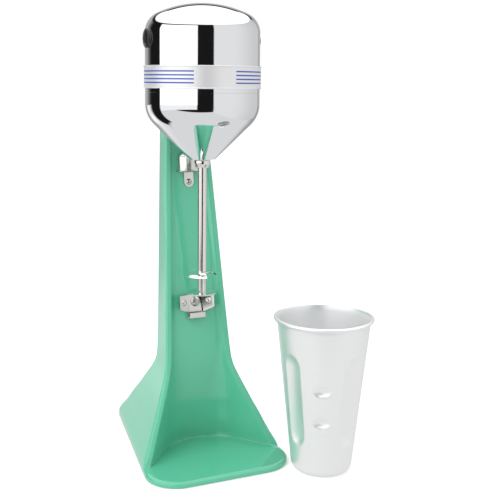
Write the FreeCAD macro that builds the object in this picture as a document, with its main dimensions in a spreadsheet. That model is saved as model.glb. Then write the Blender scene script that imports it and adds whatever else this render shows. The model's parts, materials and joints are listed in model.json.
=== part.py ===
import FreeCAD, Part
import Sketcher
import math
import os
import re

from FreeCAD import Placement, Rotation, Vector

# A spindle drink mixer on a painted stand, with its mixing cup standing beside it.
# Millimetres, +Z up, the front faces -Y. The origin is on the ground under the spindle's axis.
# Every driving size is a cell of the sheet "Sizes"; the sub-parts are bound to those cells.

SIZES = {
    # head: one vertical axis at x = 0, y = 0
    "HeadRadius": (59.5, "outer radius of both housings"),
    "HeadTop": (480, "highest point of the dome"),
    "DomeStart": (450, "height at which the dome's shoulder starts"),
    "DomeShoulder": (21.6, "radius of the dome's shoulder"),
    "HousingWall": (1.5, "sheet of the chromed housings"),
    "SeamHeight": (389, "seam between dome and bowl"),
    "SpigotRise": (6, "how far the bowl's lip reaches into the dome"),
    "SpigotWall": (1.1, "thickness of that lip"),
    "SpigotGap": (0.1, "clearance of the lip in the dome"),
    "BowlStart": (377.3, "height at which the bowl starts to close"),
    "BowlRadius": (30, "radius of the bowl's shoulder"),
    "NeckRadius": (14, "flat bottom of the bowl"),
    "NeckBore": (6, "hole in the bowl for the motor shaft"),
    "BandBottom": (393, "lower edge of the trim band"),
    "BandWidth": (23, "height of the trim band"),
    "BandProud": (1.0, "how far the band stands out of the housing"),
    "BeadProud": (0.6, "how far its edge beads stand out of the band"),
    "BeadWidth": (1.4, "height of each edge bead"),
    # brushes
    "BrushHeight": (443, "height of the brush axis"),
    "CapRadius": (10, "brush cap"),
    "CapThickness": (3, "brush cap"),
    "CapRound": (1.2, "edge rounding of the cap"),
    "CapSlotWidth": (2.4, "coin slot in the cap"),
    "CapSlotDepth": (1.4, "coin slot in the cap"),
    "BossProud": (0.7, "brush boss out of the dome"),
    "HolderRadius": (5.2, "brush holder outside"),
    "HolderBore": (3.9, "brush holder inside"),
    "BrushRadius": (3.7, "carbon brush"),
    "BrushLength": (14, "carbon brush"),
    "BrushGap": (0.3, "running gap between brush and commutator"),
    "SpringWall": (0.8, "coil thickness of the brush spring"),
    # motor
    "StatorRadius": (46, "outside of the stator"),
    "StatorYoke": (8, "radial depth of the stator ring"),
    "StatorHeight": (38, "stack height"),
    "StatorBore": (24.2, "bore between the poles"),
    "PoleWidth": (30, "width of a pole"),
    "CoilDepth": (9, "radial depth of a field coil"),
    "CoilSide": (6, "thickness of a coil around its pole"),
    "AirGap": (0.7, "between armature and poles"),
    "ShaftRadius": (4, "motor shaft"),
    "ShaftPlay": (0.05, "running clearance of the shaft in its bearings"),
    "BearingRadius": (8, "outside of both bearings"),
    "BearingLength": (12, "length of both bearings"),
    "HubWall": (4, "metal round a bearing"),
    "BracketSheet": (3, "castings of the bearing brackets"),
    "FlangeWidth": (20, "seat ring of the lower bearing bracket"),
    "LowerBearing": (331, "underside of the lower bearing"),
    "UpperBearing": (456, "underside of the upper bearing"),
    "CommutatorRadius": (11, "commutator"),
    "CommutatorLength": (16, "commutator"),
    "WindingRadius": (19, "armature end windings"),
    "WindingRise": (8, "end windings beyond the core"),
    "FanRadius": (25, "cooling fan"),
    "FanHeight": (7, "blade height"),
    "FanSheet": (1.2, "fan disc and blades"),
    "FanBlades": (8, "number of fan blades"),
    "MotorBoltRadius": (2, "through bolts of the motor"),
    "MountHalf": (16, "half width of the motor mount and of the head seat"),
    # spindle
    "SpindleRadius": (4.75, "spindle above the agitators"),
    "TurnedRadius": (4.5, "spindle between the agitators"),
    "StubRadius": (3.5, "spindle end through the lower agitator"),
    "CollarRadius": (8.6, "nickel collar"),
    "CollarHeight": (8, "nickel collar"),
    "CollarTaper": (1.6, "how much the collar narrows downwards"),
    "CollarGap": (0.9, "collar below the bowl"),
    "SocketDepth": (18, "motor shaft inside the spindle"),
    "SocketRadius": (3, "turned-down end of the motor shaft"),
    "ButterflyHeight": (199, "shoulder that the upper agitator sits under"),
    "ButterflyRadius": (16.4, "upper agitator"),
    "ButterflyDrop": (4.6, "how far its wings bend down"),
    "ButterflyHub": (7.5, "flat hub of the upper agitator"),
    "NotchAngle": (70, "opening between its two wings, degrees"),
    "NotchStart": (270, "where the first opening starts, degrees from +X"),
    "DishHeight": (175.4, "shoulder that the lower agitator sits under"),
    "DishRadius": (15.4, "lower agitator"),
    "DishRise": (1.0, "how far its edge rises"),
    "DishHub": (6.5, "flat middle of the lower agitator"),
    "AgitatorSheet": (1.0, "sheet of both agitators"),
    "TipRadius": (4.6, "riveted end"),
    "TipHeight": (2.4, "riveted end"),
    # stand: column above the knee, wings and base below it
    "ColumnTop": (438, "highest point of the column"),
    "TopRound": (16, "rounding of the column's top, seen from the side"),
    "KneeHeight": (92, "height at which the wings start"),
    "KneeRound": (9, "softness of the bend at the knee"),
    "KneeHalf": (37.9, "half width of the column at the knee"),
    "TopHalf": (20.8, "half width of the column at its top"),
    "RearInset": (4, "how much narrower the column is at its back"),
    "KneeFront": (5.1, "front rim at the knee, from the spindle's axis"),
    "TopFront": (64, "front rim at the top, from the spindle's axis"),
    "KneeRear": (54, "back of the column at the knee"),
    "TopRear": (93.5, "back of the column at the top"),
    "RimWidth": (6, "front rim of the column"),
    "RimRound": (2.6, "rounding of the rims"),
    "WallSlant": (3.5, "slant of the recess wall, sideways"),
    "RecessDepth": (2.6, "depth of the front recess in the column"),
    "RecessRound": (4, "fillet at the bottom of the recess"),
    "RearRound": (9, "rear corners of the column"),
    "WingHalf": (76.5, "half width at the wings' front ends"),
    "WingFront": (-36, "front ends of the wings"),
    "WingRim": (7.5, "rim width at the wings' ends"),
    "NicheBack": (18, "deepest point of the niche on the floor"),
    "NicheHalf": (24, "half width of the niche's back"),
    "NicheRound": (48, "radius of the niche's back"),
    "NicheSoft": (50, "length over which the recess turns into the niche"),
    "BaseFront": (-81, "front edge of the base"),
    "BaseRear": (148, "back edge of the base"),
    "BaseRearHalf": (55, "half width of the base at its back"),
    "BaseCorner": (34, "front corners of the base"),
    "BaseRearCorner": (24, "rear corners of the base"),
    "FloorHeight": (6.4, "top of the floor"),
    "SkirtRound": (3.6, "rounding of the floor's edge"),
    "StandWall": (2.5, "wall of the stand"),
    "RimSolid": (5, "solid depth behind the rims"),
    "SkirtGap": (0.8, "skirt above the ground"),
    "BossRadius": (5, "bosses for the base plate's screws"),
    "SeatDepth": (9, "depth of the head seat inside the column"),
    "SeatLow": (418, "bottom of the head seat"),
    "BandClear": (0.4, "clearance of the column round the trim band"),
    # base plate
    "PlateSheet": (1.2, "base plate"),
    "PlateGap": (0.3, "clearance of the plate in the skirt"),
    "FootRadius": (8, "rubber foot"),
    "FootStem": (3, "stem of the foot through the plate"),
    "FootFrontX": (58, "front feet"),
    "FootFrontY": (-50, "front feet"),
    "FootRearX": (42, "rear feet"),
    "FootRearY": (116, "rear feet"),
    "ScrewFrontX": (65, "front screws of the base plate"),
    "ScrewFrontY": (-12, "front screws of the base plate"),
    "ScrewRearX": (24, "rear screws of the base plate"),
    "ScrewRearY": (132, "rear screws of the base plate"),
    "PlateScrewRadius": (1.6, "shank"),
    "PlateScrewHead": (3.2, "head radius"),
    "PlateScrewLength": (10, "shank length"),
    # cup rest: stamped plate low on the column
    "RestHeight": (161, "height of its screw"),
    "BracketMetal": (1.2, "sheet of both brackets"),
    "PanelGap": (0.1, "what is fixed to the column stands off its curved face"),
    "RestFlat": (7, "half width of the flat middle"),
    "RestHalf": (20.2, "half width over the wings"),
    "RestBend": (27, "bend of the wings, degrees"),
    "RestUp": (7.6, "top edge above the screw"),
    "RestDown": (11.5, "bottom edge below the screw"),
    "RestEnd": (6.6, "bottom of the wings' ends below the screw"),
    "TongueHalf": (8.9, "half width of the tongue"),
    "HookDrop": (19.4, "underside of the hook below the screw"),
    "HookReach": (7.8, "hook in front of the panel"),
    "HookLip": (7.6, "height of the hook's lip"),
    "StudOffset": (14.4, "studs from the middle"),
    "StudRadius": (3.6, "domed stud"),
    "StudDome": (2.2, "height of the dome"),
    "RestScrewHead": (5.5, "head radius of the centre screw"),
    "RestScrewRise": (2.4, "head height of the centre screw"),
    "PanelScrewRadius": (2, "shank of both bracket screws"),
    "PanelScrewLength": (8, "shank length of both bracket screws"),
    # rim catch: pressed pocket high on the column, open below
    "CatchHeight": (290.4, "height of its screw"),
    "CatchRadius": (12.6, "outside of the pocket"),
    "CatchMouth": (11.4, "mouth of the pocket above the screw"),
    "CatchTop": (33, "top of the pocket above the screw"),
    "CatchRound": (7, "rounding of the pocket's top"),
    "CatchLip": (1.4, "how far the lip turns out"),
    "TabHalf": (5.4, "half width of the screw tab"),
    "CatchScrewHead": (3.5, "head radius of the catch screw"),
    "CatchScrewRise": (1.6, "head height of the catch screw"),
    # head bolts
    "BoltHeight": (427, "height of the head bolts"),
    "BoltOffset": (9, "bolts from the middle"),
    "BoltRadius": (2.5, "shank"),
    "BoltHead": (4.4, "head radius"),
    "BoltHeadRise": (4, "head height"),
    # switch and cord inlet, on the back of the column
    "SwitchHeight": (262, "middle of the switch"),
    "SwitchHalf": (7.5, "half width of the bezel"),
    "SwitchTall": (12, "half height of the bezel"),
    "BezelRise": (2, "bezel out of the column"),
    "SwitchBodyHalf": (6.3, "half width of the switch's body"),
    "SwitchBodyTall": (9.8, "half height of the switch's body"),
    "SwitchBodyDepth": (12, "depth of the switch's body"),
    "RockerHalf": (4.3, "half width of the rocker"),
    "RockerTall": (8, "half height of the rocker"),
    "RockerGap": (0.7, "clearance round the rocker"),
    "RockerTilt": (9, "tilt of the rocker at rest, degrees"),
    "RockerDepth": (4.4, "depth of the rocker behind its pin"),
    "PinRadius": (1, "rocker pin"),
    "PinPlay": (0.05, "clearance of the rocker on its pin"),
    "InletHeight": (140, "middle of the cord inlet"),
    "InletFlange": (8, "flange radius of the grommet"),
    "InletBody": (5.3, "body radius of the grommet"),
    "InletGap": (0.2, "clearance of the grommet in its hole"),
    "InletBore": (3.5, "bore of the grommet"),
    "InletRise": (2, "flange thickness"),
    # cup: it stands beside the mixer
    "CupX": (102, "cup's axis"),
    "CupY": (-86, "cup's axis"),
    "CupTurn": (241, "direction of the thumb dimples, degrees from +X"),
    "CupHeight": (162, "overall height"),
    "CupBead": (1.9, "radius of the rolled rim"),
    "CupMouth": (48.6, "outer radius of the wall below the rim"),
    "CupFoot": (31, "outer radius of the wall at the bottom"),
    "CupRound": (8, "rounding of the bottom edge"),
    "CupWall": (1.0, "sheet of the cup"),
    "CupKick": (1.5, "how far the bottom is pushed up"),
    "FluteLow": (54, "lower end of the flutes' straight part"),
    "FluteHigh": (104, "upper end of the flutes' straight part"),
    "FluteRadius": (26, "radius of the flute's tool"),
    "FluteDepth": (3.4, "depth of the flutes"),
    "DimpleLow": (46, "lower dimple"),
    "DimpleHigh": (79, "upper dimple"),
    "DimpleHalf": (11, "half width of the dimple's tool"),
    "DimpleTall": (7.4, "half height of the dimple's tool"),
    "DimpleDepth": (3, "depth of the dimples"),
}

doc = FreeCAD.newDocument("DrinkMixer")
sheet = doc.addObject("Spreadsheet::Sheet", "Sizes")
for row, (alias, (number, note)) in enumerate(SIZES.items(), start=1):
    sheet.set(f"A{row}", alias)
    sheet.set(f"B{row}", str(number))
    sheet.setAlias(f"B{row}", alias)
    sheet.set(f"C{row}", note)
doc.recompute()


def size(name):
    """The number in the sheet's cell of that name."""
    return float(getattr(sheet, name))


def ref(text):
    """The expression with each size's name led by the sheet's."""
    return re.sub(r"\b([A-Z]\w+)", r"Sizes.\1", str(text))


def value(text):
    """The number that an expression gives now."""
    return float(sheet.evalExpression(ref(text)))


def put(obj, x, y, z, rotation, frame=None):
    """Places an object: bound to the sheet, or in a frame that leans with the column."""
    if frame is not None:
        spot = Vector(value(x), value(y), value(z))
        obj.Placement = frame.multiply(Placement(spot, rotation))
        return obj
    obj.Placement = Placement(Vector(), rotation)
    for axis, text in zip("xyz", (x, y, z)):
        if str(text) != "0":
            obj.setExpression(f"Placement.Base.{axis}", ref(text))
    return obj


ALONG = {
    "z": Rotation(),
    "x": Rotation(Vector(0, 1, 0), 90),
    "-x": Rotation(Vector(0, 1, 0), -90),
    "y": Rotation(Vector(1, 0, 0), -90),
    "-y": Rotation(Vector(1, 0, 0), 90),
}


def cylinder(name, radius, height, x=0, y=0, z=0, along="z", frame=None):
    obj = doc.addObject("Part::Cylinder", name)
    obj.setExpression("Radius", ref(radius))
    obj.setExpression("Height", ref(height))
    return put(obj, x, y, z, ALONG[along], frame)


def block(name, length, width, height, x=0, y=0, z=0, frame=None):
    """A box whose corner nearest to the negative axes is at x, y, z."""
    obj = doc.addObject("Part::Box", name)
    obj.setExpression("Length", ref(length))
    obj.setExpression("Width", ref(width))
    obj.setExpression("Height", ref(height))
    return put(obj, x, y, z, Rotation(), frame)


def fuse(name, *shapes):
    obj = doc.addObject("Part::MultiFuse", name)
    obj.Shapes = list(shapes)
    return obj


def common(name, *shapes):
    obj = doc.addObject("Part::MultiCommon", name)
    obj.Shapes = list(shapes)
    return obj


def cut(name, base, *tools):
    obj = doc.addObject("Part::Cut", name)
    obj.Base = base
    obj.Tool = tools[0] if len(tools) == 1 else fuse(name + "_tools", *tools)
    return obj


def group(name, shapes):
    """Separate solids that share one node."""
    obj = doc.addObject("Part::Compound", name)
    obj.Links = list(shapes)
    return obj


def plane(body, role):
    return next(o for o in body.Origin.OriginFeatures if o.Role == role)


def sketch(body, name, role, points, offset="0"):
    """A closed outline. A point is (x, y), or (x, y, radius, turn) where an arc ends in it.

    Each vertex is held by its two coordinates and each arc by its radius, all bound to the sheet.
    """
    sk = body.newObject("Sketcher::SketchObject", name)
    sk.AttachmentSupport = [(plane(body, role), "")]
    sk.MapMode = "FlatFace"
    if offset != "0":
        sk.setExpression("AttachmentOffset.Base.z", ref(offset))
    spots = [Vector(value(p[0]), value(p[1]), 0) for p in points]
    ends = []
    for i, start in enumerate(spots):
        after = (i + 1) % len(spots)
        end, spec = spots[after], points[after]
        if len(spec) == 2:
            sk.addGeometry(Part.LineSegment(start, end), False)
            ends.append((1, 2))
            continue
        radius, left = value(spec[2]), spec[3] == "left"
        chord = end - start
        side = Vector(-chord.y, chord.x, 0).normalize() * (1 if left else -1)
        rise = math.sqrt(max(radius**2 - (chord.Length / 2) ** 2, 0))
        centre = (start + end) * 0.5 + side * rise
        first, last = (start, end) if left else (end, start)
        angles = [math.atan2(p.y - centre.y, p.x - centre.x) for p in (first, last)]
        angles[1] += 2 * math.pi if angles[1] < angles[0] else 0
        circle = Part.Circle(centre, Vector(0, 0, 1), radius)
        sk.addGeometry(Part.ArcOfCircle(circle, *angles), False)
        ends.append((1, 2) if left else (2, 1))
    count = len(spots)
    for i in range(count):
        sk.addConstraint(Sketcher.Constraint("Coincident", i, ends[i][1], (i + 1) % count,
                                             ends[(i + 1) % count][0]))
    for i, spot in enumerate(spots):
        for kind, at, text, line in (("DistanceX", spot.x, points[i][0], -2),
                                     ("DistanceY", spot.y, points[i][1], -1)):
            if abs(at) < 1e-9:
                sk.addConstraint(Sketcher.Constraint("PointOnObject", i, ends[i][0], line))
            else:
                n = sk.addConstraint(Sketcher.Constraint(kind, -1, 1, i, ends[i][0], at))
                sk.setExpression(f"Constraints[{n}]", ref(text))
        spec = points[(i + 1) % count]
        if len(spec) == 4:
            n = sk.addConstraint(Sketcher.Constraint("Radius", i, value(spec[2])))
            sk.setExpression(f"Constraints[{n}]", ref(spec[2]))
    return sk


def turned(name, points, angle=360, frame=None):
    """A body turned about Z from an outline of (radius, height) points."""
    body = doc.addObject("PartDesign::Body", name)
    turn = body.newObject("PartDesign::Revolution", name + "_turn")
    turn.Profile = sketch(body, name + "_outline", "XZ_Plane", points)
    turn.ReferenceAxis = (turn.Profile[0], ["V_Axis"])
    turn.Angle = angle
    if frame is not None:
        body.Placement = frame
    return body


def padded(name, role, points, length, offset="0", frame=None):
    """A body padded from an outline, along its plane's normal."""
    body = doc.addObject("PartDesign::Body", name)
    pad = body.newObject("PartDesign::Pad", name + "_pad")
    pad.Profile = sketch(body, name + "_outline", role, points, offset)
    pad.setExpression("Length", ref(length))
    if frame is not None:
        body.Placement = frame
    return body


def tilted(y, z, degrees, x=0.0):
    """A frame at a point, leaning back by some degrees as it rises."""
    return Placement(Vector(x, y, z), Rotation(Vector(1, 0, 0), -degrees))


# ---------------------------------------------------------------- motor head
TURN = "sqrt(2)/2"
BOWL_R = f"(HeadRadius - BowlRadius*(1 - {TURN}))"
BOWL_Z = f"(BowlStart - BowlRadius*{TURN})"
FLAT_Z = f"({BOWL_Z} - {BOWL_R} + NeckRadius)"
# the dome's crown is the circle about the axis that runs smoothly into the shoulder
SIDE = "(HeadRadius - DomeShoulder)"
RISE = "(HeadTop - DomeStart - DomeShoulder)"
DROP = f"(({SIDE}^2 - {RISE}^2)/(2*{RISE}))"
CROWN = f"({DROP} + HeadTop - DomeStart)"
REACH = f"({CROWN} - DomeShoulder)"


def shoulder(radius):
    """Where the crown meets a shoulder of that radius."""
    return (f"{SIDE} + {radius}*{SIDE}/{REACH}", f"DomeStart + {radius}*{DROP}/{REACH}")


def upper_housing():
    inner = "(DomeShoulder - HousingWall)"
    shell = turned("dome", [
        ("HeadRadius - HousingWall", "SeamHeight"),
        ("HeadRadius", "SeamHeight"),
        ("HeadRadius", "DomeStart"),
        (*shoulder("DomeShoulder"), "DomeShoulder", "left"),
        ("0", "HeadTop", CROWN, "left"),
        ("0", "HeadTop - HousingWall"),
        (*shoulder(inner), f"{CROWN} - HousingWall", "right"),
        ("HeadRadius - HousingWall", "DomeStart", inner, "right"),
    ])
    reach = "HeadRadius + BossProud"
    boss = cylinder("brush_bosses", "CapRadius", f"2*({reach})", f"-({reach})", 0,
                    "BrushHeight", "x")
    core = cylinder("boss_core", "HeadRadius - HousingWall/2", "4*CapRadius", 0, 0,
                    "BrushHeight - 2*CapRadius")
    bore = cylinder("holder_bores", "HolderRadius", f"2*({reach})", f"-({reach})", 0,
                    "BrushHeight", "x")
    bolts = [cylinder(f"dome_bolt_{i}", "BoltRadius", "HeadRadius", f"{side}*BoltOffset", 0,
                      "BoltHeight", "y") for i, side in enumerate((-1, 1))]
    return cut("upper_housing", fuse("dome_and_bosses", shell, cut("bosses", boss, core)),
               bore, *bolts)


def lower_housing():
    inner = "HousingWall"
    spigot = "HeadRadius - HousingWall - SpigotGap"
    return turned("lower_housing", [
        ("HeadRadius", "SeamHeight"),
        (spigot, "SeamHeight"),
        (spigot, "SeamHeight + SpigotRise"),
        (f"{spigot} - SpigotWall", "SeamHeight + SpigotRise"),
        (f"{spigot} - SpigotWall", "SeamHeight - 3*HousingWall"),
        ("HeadRadius - HousingWall", "SeamHeight - 4*HousingWall"),
        ("HeadRadius - HousingWall", "BowlStart"),
        (f"{BOWL_R} - {TURN}*{inner}", f"{BOWL_Z} + {TURN}*{inner}",
         f"BowlRadius - {inner}", "right"),
        ("NeckRadius - (sqrt(2) - 1)*HousingWall", f"{FLAT_Z} + HousingWall"),
        ("NeckBore", f"{FLAT_Z} + HousingWall"),
        ("NeckBore", FLAT_Z),
        ("NeckRadius", FLAT_Z),
        (BOWL_R, BOWL_Z),
        ("HeadRadius", "BowlStart", "BowlRadius", "left"),
    ])


def trim_band():
    face = "HeadRadius + BandProud"
    top = "BandBottom + BandWidth"
    bulge = "BeadWidth^2/(8*BeadProud) + BeadProud/2"
    return turned("trim_band", [
        ("HeadRadius", "BandBottom"),
        (face, "BandBottom"),
        (face, "BandBottom + BeadWidth", bulge, "left"),
        (face, f"{top} - BeadWidth"),
        (face, top, bulge, "left"),
        ("HeadRadius", top),
    ])


def brush_cap(name, side):
    back = "HeadRadius + BossProud"
    body = turned(name + "_disc", [
        ("0", "0"),
        ("CapRadius", "0"),
        ("CapRadius", "CapThickness - CapRound"),
        ("CapRadius - CapRound", "CapThickness", "CapRound", "left"),
        ("0", "CapThickness"),
    ])
    slot = block(name + "_slot", "CapSlotWidth", "2*CapRadius", "2*CapSlotDepth",
                 "-CapSlotWidth/2", "-CapRadius", "CapThickness - CapSlotDepth")
    cap = cut(name, body, slot)
    return put(cap, f"{side}*({back})", 0, "BrushHeight", ALONG["x" if side > 0 else "-x"])


def brushes():
    """Two holders on one axis, each with its carbon brush and spring."""
    holders, carbons, springs = [], [], []
    tip = "CommutatorRadius + BrushGap"
    back = f"{tip} + BrushLength"
    start = f"{tip} + BrushLength/4"
    end = "HeadRadius + BossProud"
    for hand, side, way in (("right", 1, "x"), ("left", -1, "-x")):
        def rod(name, radius, near, far):
            return cylinder(f"{name}_{hand}", radius, f"{far} - ({near})", f"{side}*({near})", 0,
                            "BrushHeight", way)
        holders.append(cut(f"holder_{hand}", rod("holder_tube", "HolderRadius", start, end),
                           rod("holder_bore", "HolderBore", start, end)))
        carbons.append(rod("carbon", "BrushRadius", tip, back))
        springs.append(cut(f"spring_{hand}", rod("coil", "BrushRadius", back, end),
                           rod("coil_bore", "BrushRadius - SpringWall", back, end)))
    return (group("brush_holders", holders), group("carbon_brushes", carbons),
            group("brush_springs", springs))


FLANGE_TOP = "(BowlStart + BracketSheet + 1)"
STATOR_TOP = f"({FLANGE_TOP} + StatorHeight)"
YOKE = "(StatorRadius - StatorYoke)"
BOLT_CIRCLE = "(StatorRadius - StatorYoke/2)"


def motor_bolt_holes(name):
    high = f"{STATOR_TOP} + BracketSheet - {FLAT_Z}"
    return [cylinder(f"{name}_{i}", "MotorBoltRadius", high, 0, f"{side}*{BOLT_CIRCLE}", FLAT_Z)
            for i, side in enumerate((-1, 1))]


def motor_mount():
    """Arc-shaped block between the motor and the bolts at the back of the head."""
    low = f"{FLANGE_TOP}"
    high = "BoltHeight + 2*BoltRadius + BracketSheet"
    lip = "SeamHeight + SpigotRise + SpigotGap"
    inside = "HeadRadius - HousingWall - SpigotGap - SpigotWall - SpigotGap"
    ring = turned("mount_ring", [
        ("StatorRadius", low),
        (inside, low),
        (inside, lip),
        ("HeadRadius - HousingWall", lip),
        ("HeadRadius - HousingWall", high),
        ("StatorRadius", high),
    ])
    sector = block("mount_sector", "2*MountHalf", "HeadRadius", f"{high} - {low}",
                   "-MountHalf", 0, low)
    holes = [cylinder(f"mount_hole_{i}", "BoltRadius", "HeadRadius", f"{side}*BoltOffset", 0,
                      "BoltHeight", "y") for i, side in enumerate((-1, 1))]
    return cut("motor_mount", common("mount_block", ring, sector), *holes)


def stator():
    yoke = cut("yoke", cylinder("yoke_outside", "StatorRadius", "StatorHeight", 0, 0, FLANGE_TOP),
               cylinder("yoke_inside", YOKE, "StatorHeight", 0, 0, FLANGE_TOP))
    poles = cut("poles", common(
        "pole_bar",
        cylinder("pole_reach", f"{YOKE} + StatorYoke/2", "StatorHeight", 0, 0, FLANGE_TOP),
        block("pole_width", f"2*{YOKE} + StatorYoke", "PoleWidth", "StatorHeight",
              f"-{YOKE} - StatorYoke/2", "-PoleWidth/2", FLANGE_TOP)),
        cylinder("pole_bore", "StatorBore", "StatorHeight", 0, 0, FLANGE_TOP))
    core = cut("stator_core", fuse("laminations", yoke, poles), *motor_bolt_holes("stator_hole"))
    coils = []
    for i, side in enumerate((1, -1)):
        inner = f"({YOKE} - CoilDepth - 1)"
        corner = inner if side > 0 else f"-{inner} - CoilDepth"
        outside = block(f"coil_{i}_outside", "CoilDepth", "PoleWidth + 2*CoilSide",
                        "StatorHeight + 2*CoilSide", corner, "-PoleWidth/2 - CoilSide",
                        f"{FLANGE_TOP} - CoilSide")
        window = block(f"coil_{i}_window", "CoilDepth", "PoleWidth", "StatorHeight", corner,
                       "-PoleWidth/2", FLANGE_TOP)
        coils.append(cut(f"coil_{i}", outside, window))
    fits = cylinder("coil_reach", YOKE, "StatorHeight + 2*CoilSide", 0, 0,
                    f"{FLANGE_TOP} - CoilSide")
    return core, common("field_coils", group("both_coils", coils), fits)


def bearing(name, bottom):
    return cut(name, cylinder(name + "_bush", "BearingRadius", "BearingLength", 0, 0, bottom),
               cylinder(name + "_bore", "ShaftRadius + ShaftPlay", "BearingLength", 0, 0, bottom))


def lower_bearing_bracket():
    """Cast dish: its flange sits in the bowl, its hub holds the lower bearing."""
    hub = "BearingRadius + HubWall"
    seat = "HeadRadius - HousingWall"
    flange = f"({seat} - FlangeWidth)"
    base = f"({FLANGE_TOP} - BracketSheet)"
    dish = turned("dish_casting", [
        ("BearingRadius", "LowerBearing"),
        (hub, "LowerBearing"),
        (hub, "LowerBearing + BearingLength/2"),
        (flange, base),
        (seat, base),
        (seat, FLANGE_TOP),
        (f"{flange} - BracketSheet/2", FLANGE_TOP),
        (hub, "LowerBearing + BearingLength/2 + 1.5*BracketSheet"),
        (hub, "LowerBearing + BearingLength"),
        ("BearingRadius", "LowerBearing + BearingLength"),
    ])
    vents = []
    for i in range(4):
        vent = cylinder(f"vent_{i}", "HubWall*1.4", f"SeamHeight - {FLAT_Z}", 0, 0, FLAT_Z)
        reach = value(f"({flange} + {hub})/2")
        angle = math.radians(45 + 90 * i)
        vent.Placement.Base = Vector(reach * math.cos(angle), reach * math.sin(angle),
                                     value(FLAT_Z))
        vents.append(vent)
    room = block("coil_room", f"2*{YOKE} + 2*AirGap", "PoleWidth + 2*CoilSide + 2*AirGap",
                 "SeamHeight - BowlStart", f"-{YOKE} - AirGap",
                 "-PoleWidth/2 - CoilSide - AirGap", f"{FLANGE_TOP} - CoilSide - AirGap")
    return cut("lower_bearing_bracket", dish, room, *vents, *motor_bolt_holes("flange_hole"))


def upper_bearing_bracket():
    """Bridge over the commutator: a ring on the stator, two posts, and a hub."""
    hub = "BearingRadius + HubWall"
    ring = cut("bridge_ring",
               cylinder("ring_outside", "StatorRadius", "BracketSheet", 0, 0, STATOR_TOP),
               cylinder("ring_inside", YOKE, "BracketSheet", 0, 0, STATOR_TOP))
    posts = [block(f"post_{i}", "2*BearingRadius", "BracketSheet",
                   f"UpperBearing + BracketSheet - {STATOR_TOP}", "-BearingRadius",
                   f"{YOKE}" if side > 0 else f"-{YOKE} - BracketSheet", STATOR_TOP)
             for i, side in enumerate((1, -1))]
    beam = block("beam", "2*BearingRadius", f"2*{YOKE} + 2*BracketSheet", "BracketSheet",
                 "-BearingRadius", f"-{YOKE} - BracketSheet", "UpperBearing")
    boss = cylinder("bridge_hub", hub, "BearingLength", 0, 0, "UpperBearing")
    bore = cylinder("bridge_bore", "BearingRadius", "BearingLength", 0, 0, "UpperBearing")
    holes = motor_bolt_holes("bridge_hole")
    return cut("upper_bearing_bracket", fuse("bridge", ring, *posts, beam, boss), bore, *holes)


def motor_bolts():
    low = f"({FLANGE_TOP} - BracketSheet)"
    shanks = [cylinder(f"motor_bolt_{i}", "MotorBoltRadius",
                       "StatorHeight + 2*BracketSheet", 0, f"{side}*{BOLT_CIRCLE}", low)
              for i, side in enumerate((-1, 1))]
    heads = [cylinder(f"motor_bolt_head_{i}", "1.7*MotorBoltRadius", "MotorBoltRadius", 0,
                      f"{side}*{BOLT_CIRCLE}", f"{low} - MotorBoltRadius")
             for i, side in enumerate((-1, 1))]
    return group("motor_bolts", [fuse(f"motor_bolt_whole_{i}", shanks[i], heads[i])
                                 for i in range(2)])


# ---------------------------------------------------------------- rotor and spindle
COLLAR_TOP = f"({FLAT_Z} - CollarGap)"


def rotor():
    top = "UpperBearing + BearingLength - 1"
    low = f"{COLLAR_TOP} - SocketDepth"
    shaft = turned("motor_shaft", [
        ("0", low),
        ("SocketRadius", low),
        ("SocketRadius", COLLAR_TOP),
        ("ShaftRadius", COLLAR_TOP),
        ("ShaftRadius", top),
        ("0", top),
    ])

    def ring(name, radius, height, z, bore="ShaftRadius"):
        return cut(name, cylinder(name + "_outside", radius, height, 0, 0, z),
                   cylinder(name + "_bore", bore, height, 0, 0, z))
    core = ring("armature_core", "StatorBore - AirGap", "StatorHeight", FLANGE_TOP)
    ends = [ring(f"winding_{i}", "WindingRadius", "WindingRise", z)
            for i, z in enumerate((f"{FLANGE_TOP} - WindingRise", STATOR_TOP))]
    winding = group("armature_winding", ends)
    commutator = ring("commutator", "CommutatorRadius", "CommutatorLength",
                      "BrushHeight - CommutatorLength/2")
    return shaft, core, winding, commutator


def circle_outline(radius):
    return [(radius, "0", radius, "left"), ("0", radius, radius, "left"),
            (f"-({radius})", "0", radius, "left"), ("0", f"-({radius})", radius, "left")]


def cooling_fan():
    """Disc with radial blades and a hub, under the armature."""
    low = f"({FLANGE_TOP} - WindingRise - FanHeight - 2*FanSheet)"
    body = padded("fan_disc", "XY_Plane", circle_outline("FanRadius"), "FanSheet", low)
    hub = body.newObject("PartDesign::Pad", "fan_hub")
    hub.Profile = sketch(body, "fan_hub_outline", "XY_Plane", circle_outline("2*ShaftRadius"), low)
    hub.setExpression("Length", ref("FanSheet + FanHeight"))
    blade = body.newObject("PartDesign::Pad", "fan_blade")
    blade.Profile = sketch(body, "fan_blade_outline", "XY_Plane", [
        ("1.5*ShaftRadius", "-FanSheet/2"),
        ("FanRadius - FanSheet", "-FanSheet/2"),
        ("FanRadius - FanSheet", "FanSheet/2"),
        ("1.5*ShaftRadius", "FanSheet/2"),
    ], f"{low} + FanSheet/2")
    blade.setExpression("Length", ref("FanHeight + FanSheet/2"))
    doc.recompute()
    blades = body.newObject("PartDesign::PolarPattern", "fan_blades")
    blades.Originals = [blade]
    blades.Axis = (plane(body, "Z_Axis"), [""])
    blades.Angle = 360
    blades.setExpression("Occurrences", ref("FanBlades"))
    body.Tip = blades
    bore = cylinder("fan_bore", "ShaftRadius", "2*FanHeight + FanSheet", 0, 0,
                    f"{low} - FanHeight/2")
    return cut("cooling_fan", body, bore)


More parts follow.
